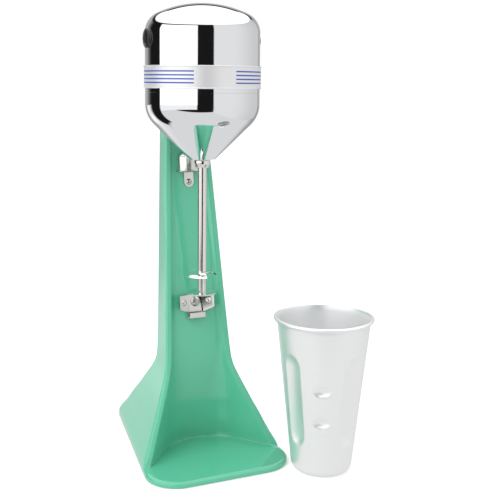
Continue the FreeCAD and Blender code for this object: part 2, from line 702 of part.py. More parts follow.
def spindle():
    """The stepped shaft that carries both agitators, its collar and its riveted end."""
    socket = f"{COLLAR_TOP} - SocketDepth"
    shaft = turned("spindle_shaft", [
        ("0", "DishHeight - AgitatorSheet - TipHeight/2"),
        ("StubRadius", "DishHeight - AgitatorSheet - TipHeight/2"),
        ("StubRadius", "DishHeight"),
        ("TurnedRadius", "DishHeight"),
        ("TurnedRadius", "ButterflyHeight"),
        ("SpindleRadius", "ButterflyHeight"),
        ("SpindleRadius", COLLAR_TOP),
        ("SocketRadius", COLLAR_TOP),
        ("SocketRadius", socket),
        ("0", socket),
    ])
    collar = turned("spindle_nut", [
        ("SpindleRadius", f"{COLLAR_TOP} - CollarHeight"),
        ("CollarRadius - CollarTaper", f"{COLLAR_TOP} - CollarHeight"),
        ("CollarRadius", f"{COLLAR_TOP} - CollarHeight/2"),
        ("CollarRadius", f"{COLLAR_TOP} - CollarTaper/4"),
        ("CollarRadius - CollarTaper/4", COLLAR_TOP),
        ("SpindleRadius", COLLAR_TOP),
    ])
    tip_top = "(DishHeight - AgitatorSheet)"
    tip = turned("spindle_tip", [
        ("StubRadius", f"{tip_top} - TipHeight/2"),
        ("0", f"{tip_top} - TipHeight/2"),
        ("0", f"{tip_top} - TipHeight"),
        ("TipRadius - TipHeight/2", f"{tip_top} - TipHeight"),
        ("TipRadius", f"{tip_top} - TipHeight/2", "TipHeight/2", "left"),
        ("TipRadius", tip_top),
        ("StubRadius", tip_top),
    ])
    return shaft, collar, tip


def butterfly_agitator():
    """A flat hub with two wings that bend down, parted by two wide notches."""
    top = "ButterflyHeight"
    under = f"({top} - AgitatorSheet)"
    reach = "(ButterflyRadius - ButterflyHub)"
    bend = f"(({reach}^2 + ButterflyDrop^2)/(2*ButterflyDrop))"
    wings = turned("wings", [
        ("TurnedRadius", under),
        ("ButterflyHub", under),
        (f"ButterflyRadius - AgitatorSheet*{reach}/{bend}",
         f"{under} - ButterflyDrop + AgitatorSheet*ButterflyDrop/{bend}",
         f"{bend} - AgitatorSheet", "right"),
        ("ButterflyRadius", f"{top} - ButterflyDrop"),
        ("ButterflyHub", top, bend, "left"),
        ("TurnedRadius", top),
    ])
    notches = []
    for i in range(2):
        notch = cylinder(f"notch_{i}", "2*ButterflyRadius", "4*ButterflyDrop", 0, 0,
                         f"{top} - 2*ButterflyDrop")
        notch.setExpression("Angle", ref("NotchAngle"))
        notch.Placement.Rotation = Rotation(Vector(0, 0, 1), size("NotchStart") + 180 * i)
        notches.append(notch)
    hub = cylinder("notch_root", "ButterflyHub", "4*ButterflyDrop", 0, 0,
                   f"{top} - 2*ButterflyDrop")
    tools = [cut(f"notch_tool_{i}", notch, hub) for i, notch in enumerate(notches)]
    return cut("butterfly_agitator", wings, *tools)


def dish_agitator():
    under = "(DishHeight - AgitatorSheet)"
    return turned("dish_agitator", [
        ("StubRadius", under),
        ("DishHub", under),
        ("DishRadius", f"{under} + DishRise"),
        ("DishRadius", "DishHeight + DishRise"),
        ("DishHub", "DishHeight"),
        ("StubRadius", "DishHeight"),
    ])


# ---------------------------------------------------------------- stand
MIN_TURN = 0.01  # radians: below it a corner counts as straight
MIN_REACH = 0.6  # millimetres of curve at every corner, so that no edge is too short


def ramp(z, soft):
    """Nought well above the knee, then rises evenly below it, rounded over that length."""
    below = size("KneeHeight") - z
    return (below + math.sqrt(below**2 + soft**2)) / 2


def flare(z, soft):
    """How far the wings have opened at a height: 0 high on the column, 1 at the floor."""
    return ramp(z, soft) / ramp(size("FloorHeight"), soft)


def line(z, at_knee, at_top):
    """A straight line up the column, through its values at the knee and at the top."""
    share = (z - size("KneeHeight")) / (size("ColumnTop") - size("KneeHeight"))
    return at_knee + (at_top - at_knee) * share


def opened(z, at_knee, at_top, at_floor, soft):
    """The column's line, drawn away from it towards its value at the floor."""
    at_base = line(size("FloorHeight"), at_knee, at_top)
    return line(z, at_knee, at_top) + (at_floor - at_base) * flare(z, soft)


def stand_lines(z):
    """The corner points of the stand's section at a height."""
    knee, niche = size("KneeRound"), size("NicheSoft")
    half = opened(z, size("KneeHalf"), size("TopHalf"), size("WingHalf"), knee)
    front = opened(z, size("KneeFront"), size("TopFront"), size("WingFront"), knee)
    rear = opened(z, size("KneeRear"), size("TopRear"), size("BaseRear"), knee)
    inset = size("RearInset")
    rear_half = opened(z, size("KneeHalf") - inset, size("TopHalf") - inset,
                       size("BaseRearHalf"), knee)
    rim = size("RimWidth") + (size("WingRim") - size("RimWidth")) * flare(z, knee)
    slant = size("RimWidth") + size("WallSlant")
    niche_half = opened(z, size("KneeHalf") - slant, size("TopHalf") - slant,
                        size("NicheHalf"), niche)
    depth = size("RecessDepth")
    panel = opened(z, size("KneeFront") + depth, size("TopFront") + depth,
                   size("NicheBack"), niche)
    fillet = size("RecessRound") + (size("NicheRound") - size("RecessRound")) * flare(z, niche)
    corner = size("RearRound") + (size("BaseRearCorner") - size("RearRound")) * flare(z, knee)
    return {"half": half, "front": front, "rear": rear, "rear_half": rear_half, "rim": rim,
            "niche_half": niche_half, "panel": panel, "fillet": fillet, "corner": corner}


def rounded(corners, z):
    """A closed wire through corner points (x, y, radius), each rounded as far as its sides allow.

    Every corner gives one curve and one straight side, so that all sections match.
    """
    arcs = []
    count = len(corners)
    for i, (x, y, radius) in enumerate(corners):
        here = Vector(x, y, z)
        before = Vector(*corners[i - 1][:2], z) - here
        after = Vector(*corners[(i + 1) % count][:2], z) - here
        half_turn = (math.pi - before.getAngle(after)) / 2
        room = 0.48 * min(before.Length, after.Length)
        reach = min(max(radius * math.tan(half_turn), MIN_REACH), room)
        start = here + before.normalize() * reach
        end = here + after.normalize() * reach
        if half_turn < MIN_TURN:
            arcs.append(Part.makeLine(start, end))
            continue
        bulge = reach * (1 / math.sin(half_turn) - 1 / math.tan(half_turn))
        inward = (before + after).normalize()
        arcs.append(Part.Arc(start, here + inward * bulge, end).toShape())
    edges = []
    for i, arc in enumerate(arcs):
        after = arcs[(i + 1) % count]
        edges += [arc, Part.makeLine(arc.lastVertex().Point, after.firstVertex().Point)]
    return Part.Wire(edges)


def mirrored(right):
    """The right half's corners, then the left half's."""
    return right + [(-x, y, radius) for x, y, radius in reversed(right)]


def stand_section(z):
    s = stand_lines(z)
    rim = size("RimRound")
    return rounded(mirrored([
        (s["rear_half"], s["rear"], s["corner"]),
        (s["half"], s["front"], rim),
        (s["half"] - s["rim"], s["front"], rim),
        (s["niche_half"], s["panel"], s["fillet"]),
    ]), z)


def hollow_section(z):
    s = stand_lines(z)
    wall = size("StandWall")
    front = s["front"] + size("RimSolid")
    side = (s["rear_half"] - s["half"]) / (s["rear"] - s["front"])
    at_front = s["half"] + side * size("RimSolid") - wall
    return rounded(mirrored([
        (s["rear_half"] - wall, s["rear"] - wall, max(s["corner"] - wall, wall)),
        (at_front, front, wall / 2),
        (s["niche_half"] + wall / 2, s["panel"] + wall, s["fillet"] + wall),
    ]), z)


def heights(low, high):
    """Section heights: even on the wings, close at the knee, wider apart up the column."""
    knee, soft = size("KneeHeight"), size("KneeRound")
    wing = [low + (knee - 2 * soft - low) * i / 5 for i in range(6)]
    bend = [knee + soft * k for k in (-1.1, -0.5, 0, 0.5, 1.1, 2, 3.4, 5.4, 8)]
    column = [bend[-1] + (high - bend[-1]) * i / 9 for i in range(1, 10)]
    return wing + bend + column


def base_outline(inset, z):
    """The base seen from above, drawn in by some distance."""
    side = (size("WingHalf") - size("BaseRearHalf")) / (size("WingFront") - size("BaseRear"))
    front_half = size("WingHalf") + side * (size("BaseFront") - size("WingFront"))
    return rounded(mirrored([
        (size("BaseRearHalf") - inset, size("BaseRear") - inset, size("BaseRearCorner") - inset),
        (front_half - inset, size("BaseFront") + inset, size("BaseCorner") - inset),
    ]), z)


def slab(wire, height):
    return Part.Face(wire).extrude(Vector(0, 0, height))


def base_slab():
    """The floor with its rounded edge, and square-edged ground for the wings' feet."""
    low, high, soft = size("SkirtGap"), size("FloorHeight"), size("SkirtRound")
    solid = slab(base_outline(0, low), high - low)
    top = [edge for edge in solid.Edges if edge.BoundBox.ZMin > high - 0.01]
    foot = slab(stand_section(high), low - high)
    return solid.makeFillet(soft, top).fuse(foot)


def column_top():
    """Everything under the top of the column, which is rounded towards its back."""
    top, soft = size("ColumnTop"), size("TopRound")
    rear, half = size("TopRear") + 2, 2 * size("BaseRear")
    far = 2 * size("BaseRear")
    outline = Part.Wire([
        Part.makeLine(Vector(-half, -far, -1), Vector(-half, rear + far, -1)),
        Part.makeLine(Vector(-half, rear + far, -1), Vector(-half, rear + far, top - soft)),
        Part.makeLine(Vector(-half, rear + far, top - soft), Vector(-half, rear, top - soft)),
        Part.Arc(Vector(-half, rear, top - soft),
                 Vector(-half, rear - soft * (1 - math.sqrt(0.5)),
                        top - soft * (1 - math.sqrt(0.5))),
                 Vector(-half, rear - soft, top)).toShape(),
        Part.makeLine(Vector(-half, rear - soft, top), Vector(-half, -far, top)),
        Part.makeLine(Vector(-half, -far, top), Vector(-half, -far, -1)),
    ])
    return Part.Face(outline).extrude(Vector(2 * half, 0, 0))


def head_room(extra=0.0):
    """The space that the head takes from the column: housings, and the band with clearance."""
    radius = size("HeadRadius") + extra
    clear = size("BandClear") + extra
    band = size("HeadRadius") + size("BandProud") + size("BeadProud") + clear
    start, curve = size("BowlStart"), size("BowlRadius") + extra
    diagonal = math.sqrt(0.5)
    middle = math.radians(22.5)
    centre = Vector(size("HeadRadius") - size("BowlRadius"), 0, start)
    flat = value(FLAT_Z) - extra
    neck = size("NeckRadius") + extra * (math.sqrt(2) - 1)
    points = [Vector(0, 0, flat), Vector(neck, 0, flat),
              centre + Vector(diagonal, 0, -diagonal) * curve,
              centre + Vector(math.cos(middle), 0, -math.sin(middle)) * curve,
              centre + Vector(curve, 0, 0),
              Vector(radius, 0, size("HeadTop")), Vector(0, 0, size("HeadTop"))]
    outline = Part.Wire([
        Part.makeLine(points[0], points[1]),
        Part.makeLine(points[1], points[2]),
        Part.Arc(points[2], points[3], points[4]).toShape(),
        Part.makeLine(points[4], points[5]),
        Part.makeLine(points[5], points[6]),
        Part.makeLine(points[6], points[0]),
    ])
    housing = Part.Face(outline).revolve(Vector(), Vector(0, 0, 1), 360)
    ring = Part.makeCylinder(band, size("BandWidth") + 2 * clear,
                             Vector(0, 0, size("BandBottom") - clear))
    return housing.fuse(ring)


def shank(radius, length, frame, z=0.0):
    """A hole along a frame's Y axis, from in front of the panel to behind it."""
    hole = Part.makeCylinder(radius, 2 * length, Vector(0, -length, z), Vector(0, 1, 0))
    hole.Placement = frame
    return hole


def surface_frame(z, side):
    """A frame on the recessed panel or on the column's back: Z up along it, Y straight back."""
    rise = 2.0
    lean = (stand_lines(z + rise)[side] - stand_lines(z - rise)[side]) / (2 * rise)
    return tilted(stand_lines(z)[side], z, math.degrees(math.atan(lean)))


REST = surface_frame(size("RestHeight"), "panel")
CATCH = surface_frame(size("CatchHeight"), "panel")
SWITCH = surface_frame(size("SwitchHeight"), "rear")
INLET = surface_frame(size("InletHeight"), "rear")
PLATE_LOW = "(SkirtGap + PlateSheet/3)"
PLATE_TOP = "(SkirtGap + 4*PlateSheet/3)"
BASE_SCREWS = [(side * size(f"Screw{end}X"), size(f"Screw{end}Y"))
               for end in ("Front", "Rear") for side in (-1, 1)]
FEET = [(side * size(f"Foot{end}X"), size(f"Foot{end}Y"))
        for end in ("Front", "Rear") for side in (-1, 1)]


def column_loft(section):
    """A smooth skin through one section after another, from the floor up."""
    top = size("ColumnTop") + size("TopRound")
    return Part.makeLoft([section(z) for z in heights(size("FloorHeight"), top)], True)


def screw_holes():
    """Through holes and blind holes for all that is screwed to the stand."""
    radius, length = size("PanelScrewRadius"), size("PanelScrewLength")
    holes = [shank(radius, length, frame) for frame in (REST, CATCH)]
    for side in (-1, 1):
        holes.append(Part.makeCylinder(size("BoltRadius"), size("TopFront") + 2 * size("SeatDepth"),
                                       Vector(side * size("BoltOffset"), 0, size("BoltHeight")),
                                       Vector(0, 1, 0)))
    for x, y in BASE_SCREWS:
        holes.append(Part.makeCylinder(size("PlateScrewRadius"), size("PlateScrewLength"),
                                       Vector(x, y, value(PLATE_LOW))))
    return holes


def stand_shell():
    """Painted hollow shell: column, wings, floor and skirt in one piece."""
    floor, low, wall = size("FloorHeight"), size("SkirtGap"), size("StandWall")
    outside = column_loft(stand_section).fuse(base_slab()).common(column_top())
    lowered = column_top()
    lowered.translate(Vector(0, 0, -wall))
    hollow = column_loft(hollow_section).fuse(slab(hollow_section(floor), -2 * wall))
    hollow = hollow.common(lowered).cut(head_room(wall))
    under = slab(base_outline(wall, low - 1), floor - wall - low + 1)
    bosses = Part.makeCompound([
        Part.makeCylinder(size("BossRadius"), size("KneeHeight"), Vector(x, y, value(PLATE_TOP)))
        for x, y in BASE_SCREWS])
    half, depth, seat_low = size("MountHalf"), size("SeatDepth"), size("SeatLow")
    seat = Part.makeBox(2 * half, 2 * depth, size("ColumnTop") - size("TopRound") / 2 - seat_low,
                        Vector(-half, size("TopFront") - depth, seat_low))
    shell = outside.cut(hollow.fuse(under))
    shell = shell.fuse(bosses.common(outside)).fuse(seat).cut(head_room())
    half, tall = size("SwitchBodyHalf"), size("SwitchBodyTall")
    window = Part.makeBox(2 * half, 4 * wall, 2 * tall, Vector(-half, -2 * wall, -tall))
    window.Placement = SWITCH
    inlet = shank(size("InletBody") + size("InletGap"), 2 * wall, INLET)
    shell = shell.cut(Part.makeCompound(screw_holes() + [window, inlet])).removeSplitter()
    obj = doc.addObject("Part::Feature", "stand_shell")
    obj.Shape = shell.Solids[0]
    obj.Placement = Placement()
    return obj


# ---------------------------------------------------------------- base plate and feet
def base_plate():
    plate = doc.addObject("Part::Feature", "plate_blank")
    plate.Shape = slab(base_outline(size("StandWall") + size("PlateGap"), value(PLATE_LOW)),
                       size("PlateSheet"))
    holes = [cylinder(f"plate_hole_{i}", "PlateScrewRadius", "3*PlateSheet", x, y,
                      f"{PLATE_LOW} - PlateSheet") for i, (x, y) in enumerate(BASE_SCREWS)]
    stems = [cylinder(f"stem_hole_{i}", "FootStem", "3*PlateSheet", x, y,
                      f"{PLATE_LOW} - PlateSheet") for i, (x, y) in enumerate(FEET)]
    return cut("base_plate", plate, *holes, *stems)


def base_plate_screws():
    rise = "0.3*PlateScrewHead"
    screws = []
    for i, (x, y) in enumerate(BASE_SCREWS):
        head = cylinder(f"plate_screw_head_{i}", "PlateScrewHead", rise, x, y,
                        f"{PLATE_LOW} - {rise}")
        stem = cylinder(f"plate_screw_stem_{i}", "PlateScrewRadius", "PlateScrewLength", x, y,
                        PLATE_LOW)
        screws.append(fuse(f"plate_screw_{i}", head, stem))
    return group("base_plate_screws", screws)


def rubber_feet():
    feet = []
    for i, (x, y) in enumerate(FEET):
        foot = turned(f"foot_{i}", [
            ("0", "0"),
            ("FootRadius - SkirtGap", "0"),
            ("FootRadius", "SkirtGap", "SkirtGap", "left"),
            ("FootRadius", PLATE_LOW),
            ("FootStem", PLATE_LOW),
            ("FootStem", f"{PLATE_TOP} + PlateSheet"),
            ("0", f"{PLATE_TOP} + PlateSheet"),
        ])
        feet.append(put(foot, x, y, 0, Rotation()))
    return group("rubber_feet", feet)


# ---------------------------------------------------------------- brackets on the column
def forward(frame, x=0.0, y=0.0, turn=0.0):
    """A frame whose Z looks out of the panel, turned sideways by some degrees."""
    outward = Rotation(Vector(0, 0, 1), turn).multiply(ALONG["-y"])
    return frame.multiply(Placement(Vector(x, y, 0), outward))


def panel_screw(name, frame, head, rise):
    """Domed cross-head screw that holds a bracket to the panel."""
    seat = "(PanelGap + BracketMetal)"
    body = turned(name + "_body", [
        ("0", "-PanelScrewLength"),
        ("PanelScrewRadius", "-PanelScrewLength"),
        ("PanelScrewRadius", seat),
        (head, seat),
        ("0", f"{seat} + {rise}", f"({head}^2 + {rise}^2)/(2*{rise})", "left"),
    ], frame=forward(frame))
    low = f"{seat} + {rise}/3"
    cross = [block(f"{name}_slot_{i}", long, wide, rise, f"-{long}/2", f"-{wide}/2", low,
                   forward(frame))
             for i, (long, wide) in enumerate(((head, f"{head}/5"), (f"{head}/5", head)))]
    return cut(name, body, *cross)


def cup_rest():
    """Stamped plate with two bent wings and a hooked tongue."""
    back, metal = "PanelGap", "BracketMetal"
    wing = "(RestHalf - RestFlat)"
    tip_x = "(RestHalf - BracketMetal*sin(RestBend))"
    tip_y = f"-{back} - {wing}*tan(RestBend) - BracketMetal*cos(RestBend)"
    inner_x = "(RestFlat - BracketMetal*tan(RestBend/2))"
    plan = padded("rest_plan", "XY_Plane", [
        ("-RestHalf", f"-{back} - {wing}*tan(RestBend)"),
        (f"-{tip_x}", tip_y),
        (f"-{inner_x}", f"-{back} - {metal}"),
        (inner_x, f"-{back} - {metal}"),
        (tip_x, tip_y),
        ("RestHalf", f"-{back} - {wing}*tan(RestBend)"),
        ("RestFlat", f"-{back}"),
        ("-RestFlat", f"-{back}"),
    ], "RestUp + RestDown", "-RestDown", frame=REST)
    face = padded("rest_face", "XZ_Plane", [
        ("-RestHalf", "RestUp"),
        ("-RestHalf", "-RestEnd"),
        ("-TongueHalf", "-RestDown"),
        ("TongueHalf", "-RestDown"),
        ("RestHalf", "-RestEnd"),
        ("RestHalf", "RestUp"),
    ], f"2*{wing}", frame=REST)
    bend_z = "-HookDrop + HookReach/2"
    hook = padded("rest_hook", "YZ_Plane", [
        (f"-{back}", "-RestEnd"),
        (f"-{back}", bend_z),
        (f"-{back} - HookReach/2", "-HookDrop", "HookReach/2", "right"),
        (f"-{back} - HookReach", bend_z, "HookReach/2", "right"),
        (f"-{back} - HookReach", "-HookDrop + HookLip"),
        (f"-{back} - HookReach + {metal}", "-HookDrop + HookLip"),
        (f"-{back} - HookReach + {metal}", bend_z),
        (f"-{back} - HookReach/2", f"-HookDrop + {metal}", f"HookReach/2 - {metal}", "left"),
        (f"-{back} - {metal}", bend_z, f"HookReach/2 - {metal}", "left"),
        (f"-{back} - {metal}", "-RestEnd"),
    ], "2*TongueHalf", "-TongueHalf", frame=REST)
    hole = cylinder("rest_hole", "PanelScrewRadius", "4*BracketMetal", 0, "2*BracketMetal", 0,
                    "-y", REST)
    return cut("cup_rest", fuse("rest_metal", common("rest_plate", plan, face), hook), hole)


def cup_rest_studs():
    """Two domed studs, square to the bent wings."""
    studs = []
    bend = size("RestBend")
    metal = size("BracketMetal")
    for hand, side in (("left", -1), ("right", 1)):
        reach = (size("StudOffset") - size("RestFlat")) * math.tan(math.radians(bend))
        lean = math.radians(bend)
        x = side * (size("StudOffset") - metal * math.sin(lean))
        y = -size("PanelGap") - reach - metal * math.cos(lean)
        studs.append(turned(f"stud_{hand}", [
            ("0", "0"),
            ("StudRadius", "0"),
            ("0", "StudDome", "(StudRadius^2 + StudDome^2)/(2*StudDome)", "left"),
        ], frame=forward(REST, x, y, -side * bend)))
    return group("cup_rest_studs", studs)


def cup_rim_catch():
    """Pressed half-round pocket, open below, with a screw tab under it."""
    inside = "(CatchRadius - BracketMetal)"
    pocket = turned("catch_pocket", [
        (inside, "CatchMouth"),
        ("CatchRadius + CatchLip", "CatchMouth"),
        ("CatchRadius + CatchLip", "CatchMouth + BracketMetal"),
        ("CatchRadius", "CatchMouth + BracketMetal"),
        ("CatchRadius", "CatchTop - CatchRound"),
        ("CatchRadius - CatchRound", "CatchTop", "CatchRound", "left"),
        ("0", "CatchTop"),
        ("0", "CatchTop - BracketMetal"),
        ("CatchRadius - CatchRound", "CatchTop - BracketMetal"),
        (inside, "CatchTop - CatchRound", "CatchRound - BracketMetal", "right"),
    ], frame=CATCH)
    front = block("catch_front", "4*CatchRadius", "2*CatchRadius", "2*CatchTop",
                  "-2*CatchRadius", "-2*CatchRadius - PanelGap", 0, CATCH)
    edge, middle = "(CatchRadius - BracketMetal/2)", "(CatchTop - BracketMetal/2)"
    corner = "(CatchRound - BracketMetal/2)"
    plate = padded("catch_plate", "XZ_Plane", [
        ("-TabHalf", "0"),
        ("0", "-TabHalf", "TabHalf", "left"),
        ("TabHalf", "0", "TabHalf", "left"),
        ("TabHalf", "CatchMouth"),
        (edge, "CatchMouth"),
        (edge, "CatchTop - CatchRound"),
        ("CatchRadius - CatchRound", middle, corner, "left"),
        ("-CatchRadius + CatchRound", middle),
        (f"-{edge}", "CatchTop - CatchRound", corner, "left"),
        (f"-{edge}", "CatchMouth"),
        ("-TabHalf", "CatchMouth"),
    ], "BracketMetal", "PanelGap", frame=CATCH)
    hole = cylinder("catch_hole", "PanelScrewRadius", "4*BracketMetal", 0, "2*BracketMetal", 0,
                    "-y", CATCH)
    hood = common("catch_hood", pocket, front)
    return cut("cup_rim_catch", fuse("catch_metal", hood, plate), hole)


def head_bolts():
    """Two bolts from the column's seat into the motor mount."""
    seat = "(TopFront + SeatDepth)"
    bolts = []
    for hand, side in (("left", -1), ("right", 1)):
        stem = cylinder(f"head_bolt_stem_{hand}", "BoltRadius", f"{seat} - StatorRadius - 1",
                        f"{side}*BoltOffset", "StatorRadius + 1", "BoltHeight", "y")
        head = cylinder(f"head_bolt_head_{hand}", "BoltHead", "BoltHeadRise",
                        f"{side}*BoltOffset", seat, "BoltHeight", "y")
        bolts.append(fuse(f"head_bolt_{hand}", stem, head))
    return group("head_bolts", bolts)


# ---------------------------------------------------------------- switch and cord inlet
def switch():
    """Bezel with its body behind it, the rocker inside, and the pin between them."""
    room_half, room_tall = "(RockerHalf + RockerGap)", "(RockerTall + RockerGap)"
    plate = block("bezel_plate", "2*SwitchHalf", "BezelRise", "2*SwitchTall", "-SwitchHalf",
                  "PanelGap", "-SwitchTall", SWITCH)
    body = block("switch_body", "2*SwitchBodyHalf", "SwitchBodyDepth + PanelGap",
                 "2*SwitchBodyTall", "-SwitchBodyHalf", "-SwitchBodyDepth", "-SwitchBodyTall",
                 SWITCH)
    room = block("rocker_room", f"2*{room_half}", "2*RockerDepth + BezelRise", f"2*{room_tall}",
                 f"-{room_half}", "-1.5*RockerDepth", f"-{room_tall}", SWITCH)
    length = f"2*{room_half} + 2*PinRadius"
    pin = cylinder("switch_pin", "PinRadius", length, f"-({length})/2", 0, 0, "x", SWITCH)
    pin_hole = cylinder("pin_hole", "PinRadius", length, f"-({length})/2", 0, 0, "x", SWITCH)
    bezel = cut("switch_bezel", fuse("bezel_whole", plate, body), room, pin_hole)
    tipped = SWITCH.multiply(Placement(Vector(), Rotation(Vector(1, 0, 0), -size("RockerTilt"))))
    crest = "(BezelRise + PinRadius/2)"
    key = padded("rocker_key", "YZ_Plane", [
        ("-RockerDepth", "-RockerTall/2"),
        ("0", "-RockerTall"),
        (crest, "-RockerTall"),
        (f"{crest} - PinRadius", "0"),
        (crest, "RockerTall"),
        ("0", "RockerTall"),
        ("-RockerDepth", "RockerTall/2"),
    ], "2*RockerHalf", "-RockerHalf", frame=tipped)
    bore = cylinder("rocker_bore", "PinRadius + PinPlay", "4*RockerHalf", "-2*RockerHalf", 0, 0,
                    "x", SWITCH)
    return bezel, cut("switch_rocker", key, bore), pin


def cord_grommet():
    outward = INLET.multiply(Placement(Vector(), ALONG["y"]))
    return turned("cord_grommet", [
        ("InletBore", "-2*StandWall"),
        ("InletBody", "-2*StandWall"),
        ("InletBody", "PanelGap"),
        ("InletFlange", "PanelGap"),
        ("InletFlange - InletRise/2", "PanelGap + InletRise"),
        ("InletBore", "PanelGap + InletRise"),
    ], frame=outward)


# ---------------------------------------------------------------- mixing cup
CUP_SLOPE = "((CupMouth - CupFoot)/(CupHeight - CupBead))"
CUP_LEAN = f"sqrt(1 + {CUP_SLOPE}^2)"
CUP_CORNER = f"(CupFoot + {CUP_SLOPE}*CupRound - CupRound*{CUP_LEAN})"


def cup_body(name, metal):
    """The solid inside the cup's outer face, or inside its inner face."""
    bend = f"(CupRound - {metal})"
    top = "CupHeight - CupBead" if metal == "0" else "CupHeight + CupBead"
    wall_x = f"{CUP_CORNER} + {bend}/{CUP_LEAN}"
    wall_z = f"CupRound - {bend}*{CUP_SLOPE}/{CUP_LEAN}"
    top_x = f"CupFoot + {CUP_SLOPE}*({top}) - {metal}*{CUP_LEAN}"
    return put(turned(name, [
        ("0", f"CupKick + {metal}"),
        (f"{CUP_CORNER} - 3*CupKick", f"CupKick + {metal}"),
        (f"{CUP_CORNER} - CupKick", f"{metal}"),
        (CUP_CORNER, f"{metal}"),
        (wall_x, wall_z, bend, "left"),
        (top_x, top),
        ("0", top),
    ]), "CupX", "CupY", 0, Rotation())


def flute(name, turn, metal):
    """A round-ended rod along the leaning wall, sunk into it by the flute's depth."""
    radius = f"(FluteRadius + {metal})"
    slope = value(CUP_SLOPE)
    lean = math.degrees(math.atan(slope))
    away = (size("FluteRadius") - size("FluteDepth")) * value(CUP_LEAN)
    low, high = size("FluteLow"), size("FluteHigh")
    spot = Vector(size("CupFoot") + slope * low + away, 0, low)
    frame = Placement(Vector(size("CupX"), size("CupY"), 0), Rotation(Vector(0, 0, 1), turn))
    frame = frame.multiply(Placement(spot, Rotation(Vector(0, 1, 0), lean)))
    length = (high - low) * value(CUP_LEAN)
    rod = cylinder(name + "_rod", radius, length, 0, 0, 0, "z", frame)
    balls = []
    for i, height in enumerate((0, length)):
        ball = doc.addObject("Part::Sphere", f"{name}_end_{i}")
        ball.setExpression("Radius", ref(radius))
        balls.append(put(ball, 0, 0, height, Rotation(), frame))
    return fuse(name, rod, *balls)


def dimple(name, height, metal):
    """An egg-shaped tool, pressed into the wall where the thumb goes."""
    ball = doc.addObject("Part::Ellipsoid", name)
    ball.setExpression("Radius1", ref(f"DimpleTall + {metal}"))
    ball.setExpression("Radius2", ref(f"DimpleTall + {metal}"))
    ball.setExpression("Radius3", ref(f"DimpleHalf + {metal}"))
    frame = Placement(Vector(size("CupX"), size("CupY"), 0),
                      Rotation(Vector(0, 0, 1), size("CupTurn")))
    away = f"CupFoot + {CUP_SLOPE}*{height} + DimpleTall - DimpleDepth"
    return put(ball, away, 0, height, Rotation(), frame)


def mixing_cup():
    """Spun cup with a rolled rim, four flutes and two thumb dimples, its wall even all over."""
    faces = []
    for name, metal in (("cup_outer", "0"), ("cup_inner", "CupWall")):
        body = cup_body(name + "_turned", metal)
        tools = [flute(f"{name}_flute_{i}", size("CupTurn") + 45 + 90 * i, metal)
                 for i in range(4)]
        tools += [dimple(f"{name}_dimple_{i}", height, metal)
                  for i, height in enumerate(("DimpleLow", "DimpleHigh"))]
        faces.append(cut(name, body, *tools))
    rim = doc.addObject("Part::Torus", "cup_rim")
    rim.setExpression("Radius1", ref("CupMouth + CupBead - 0.6*CupWall"))
    rim.setExpression("Radius2", ref("CupBead"))
    put(rim, "CupX", "CupY", "CupHeight - CupBead", Rotation())
    wall = cut("cup_wall", *faces)
    return fuse("mixing_cup", wall, rim)


# ---------------------------------------------------------------- assembly
core, coils = stator()
holders, carbons, springs = brushes()
shaft, armature, winding, commutator = rotor()
stem, collar, tip = spindle()
bezel, rocker, pin = switch()
caps = group("brush_caps", [brush_cap("cap_right", 1), brush_cap("cap_left", -1)])
NODES = {
    "stand_shell": stand_shell(),
    "base_plate": base_plate(),
    "base_plate_screws": base_plate_screws(),
    "rubber_feet": rubber_feet(),
    "cup_rest": cup_rest(),
    "cup_rest_screw": panel_screw("cup_rest_screw", REST, "RestScrewHead", "RestScrewRise"),
    "cup_rest_studs": cup_rest_studs(),
    "cup_rim_catch": cup_rim_catch(),
    "catch_screw": panel_screw("catch_screw", CATCH, "CatchScrewHead", "CatchScrewRise"),
    "head_bolts": head_bolts(),
    "switch_bezel": bezel,
    "switch_rocker": rocker,
    "switch_pin": pin,
    "cord_grommet": cord_grommet(),
    "upper_housing": upper_housing(),
    "lower_housing": lower_housing(),
    "trim_band": trim_band(),
    "brush_caps": caps,
    "brush_holders": holders,
    "carbon_brushes": carbons,
    "brush_springs": springs,
    "motor_mount": motor_mount(),
    "stator_core": core,
    "field_coils": coils,
    "lower_bearing_bracket": lower_bearing_bracket(),
    "upper_bearing_bracket": upper_bearing_bracket(),
    "lower_bearing": bearing("lower_bearing", "LowerBearing"),
    "upper_bearing": bearing("upper_bearing", "UpperBearing"),
    "motor_bolts": motor_bolts(),
    "motor_shaft": shaft,
    "armature_core": armature,
    "armature_winding": winding,
    "commutator": commutator,
    "cooling_fan": cooling_fan(),
    "spindle_nut": collar,
    "spindle_shaft": stem,
    "butterfly_agitator": butterfly_agitator(),
    "dish_agitator": dish_agitator(),
    "spindle_tip": tip,
    "mixing_cup": mixing_cup(),
}
for name, obj in NODES.items():
    obj.Label = name
doc.recompute()

faults = [o.Label for o in doc.Objects if "Invalid" in o.State or "Error" in o.State]
if faults:
    raise RuntimeError(f"these objects didn't compute: {faults}")
for name, obj in NODES.items():
    if obj.Shape.isNull() or not obj.Shape.isValid() or not obj.Shape.Solids:
        raise RuntimeError(f"{name}: its shape isn't a valid solid")

os.makedirs("parts", exist_ok=True)
for name, obj in NODES.items():
    obj.Shape.exportStep(f"parts/{name}.step")
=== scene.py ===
import json
import math

import bpy
from mathutils import Matrix, Vector

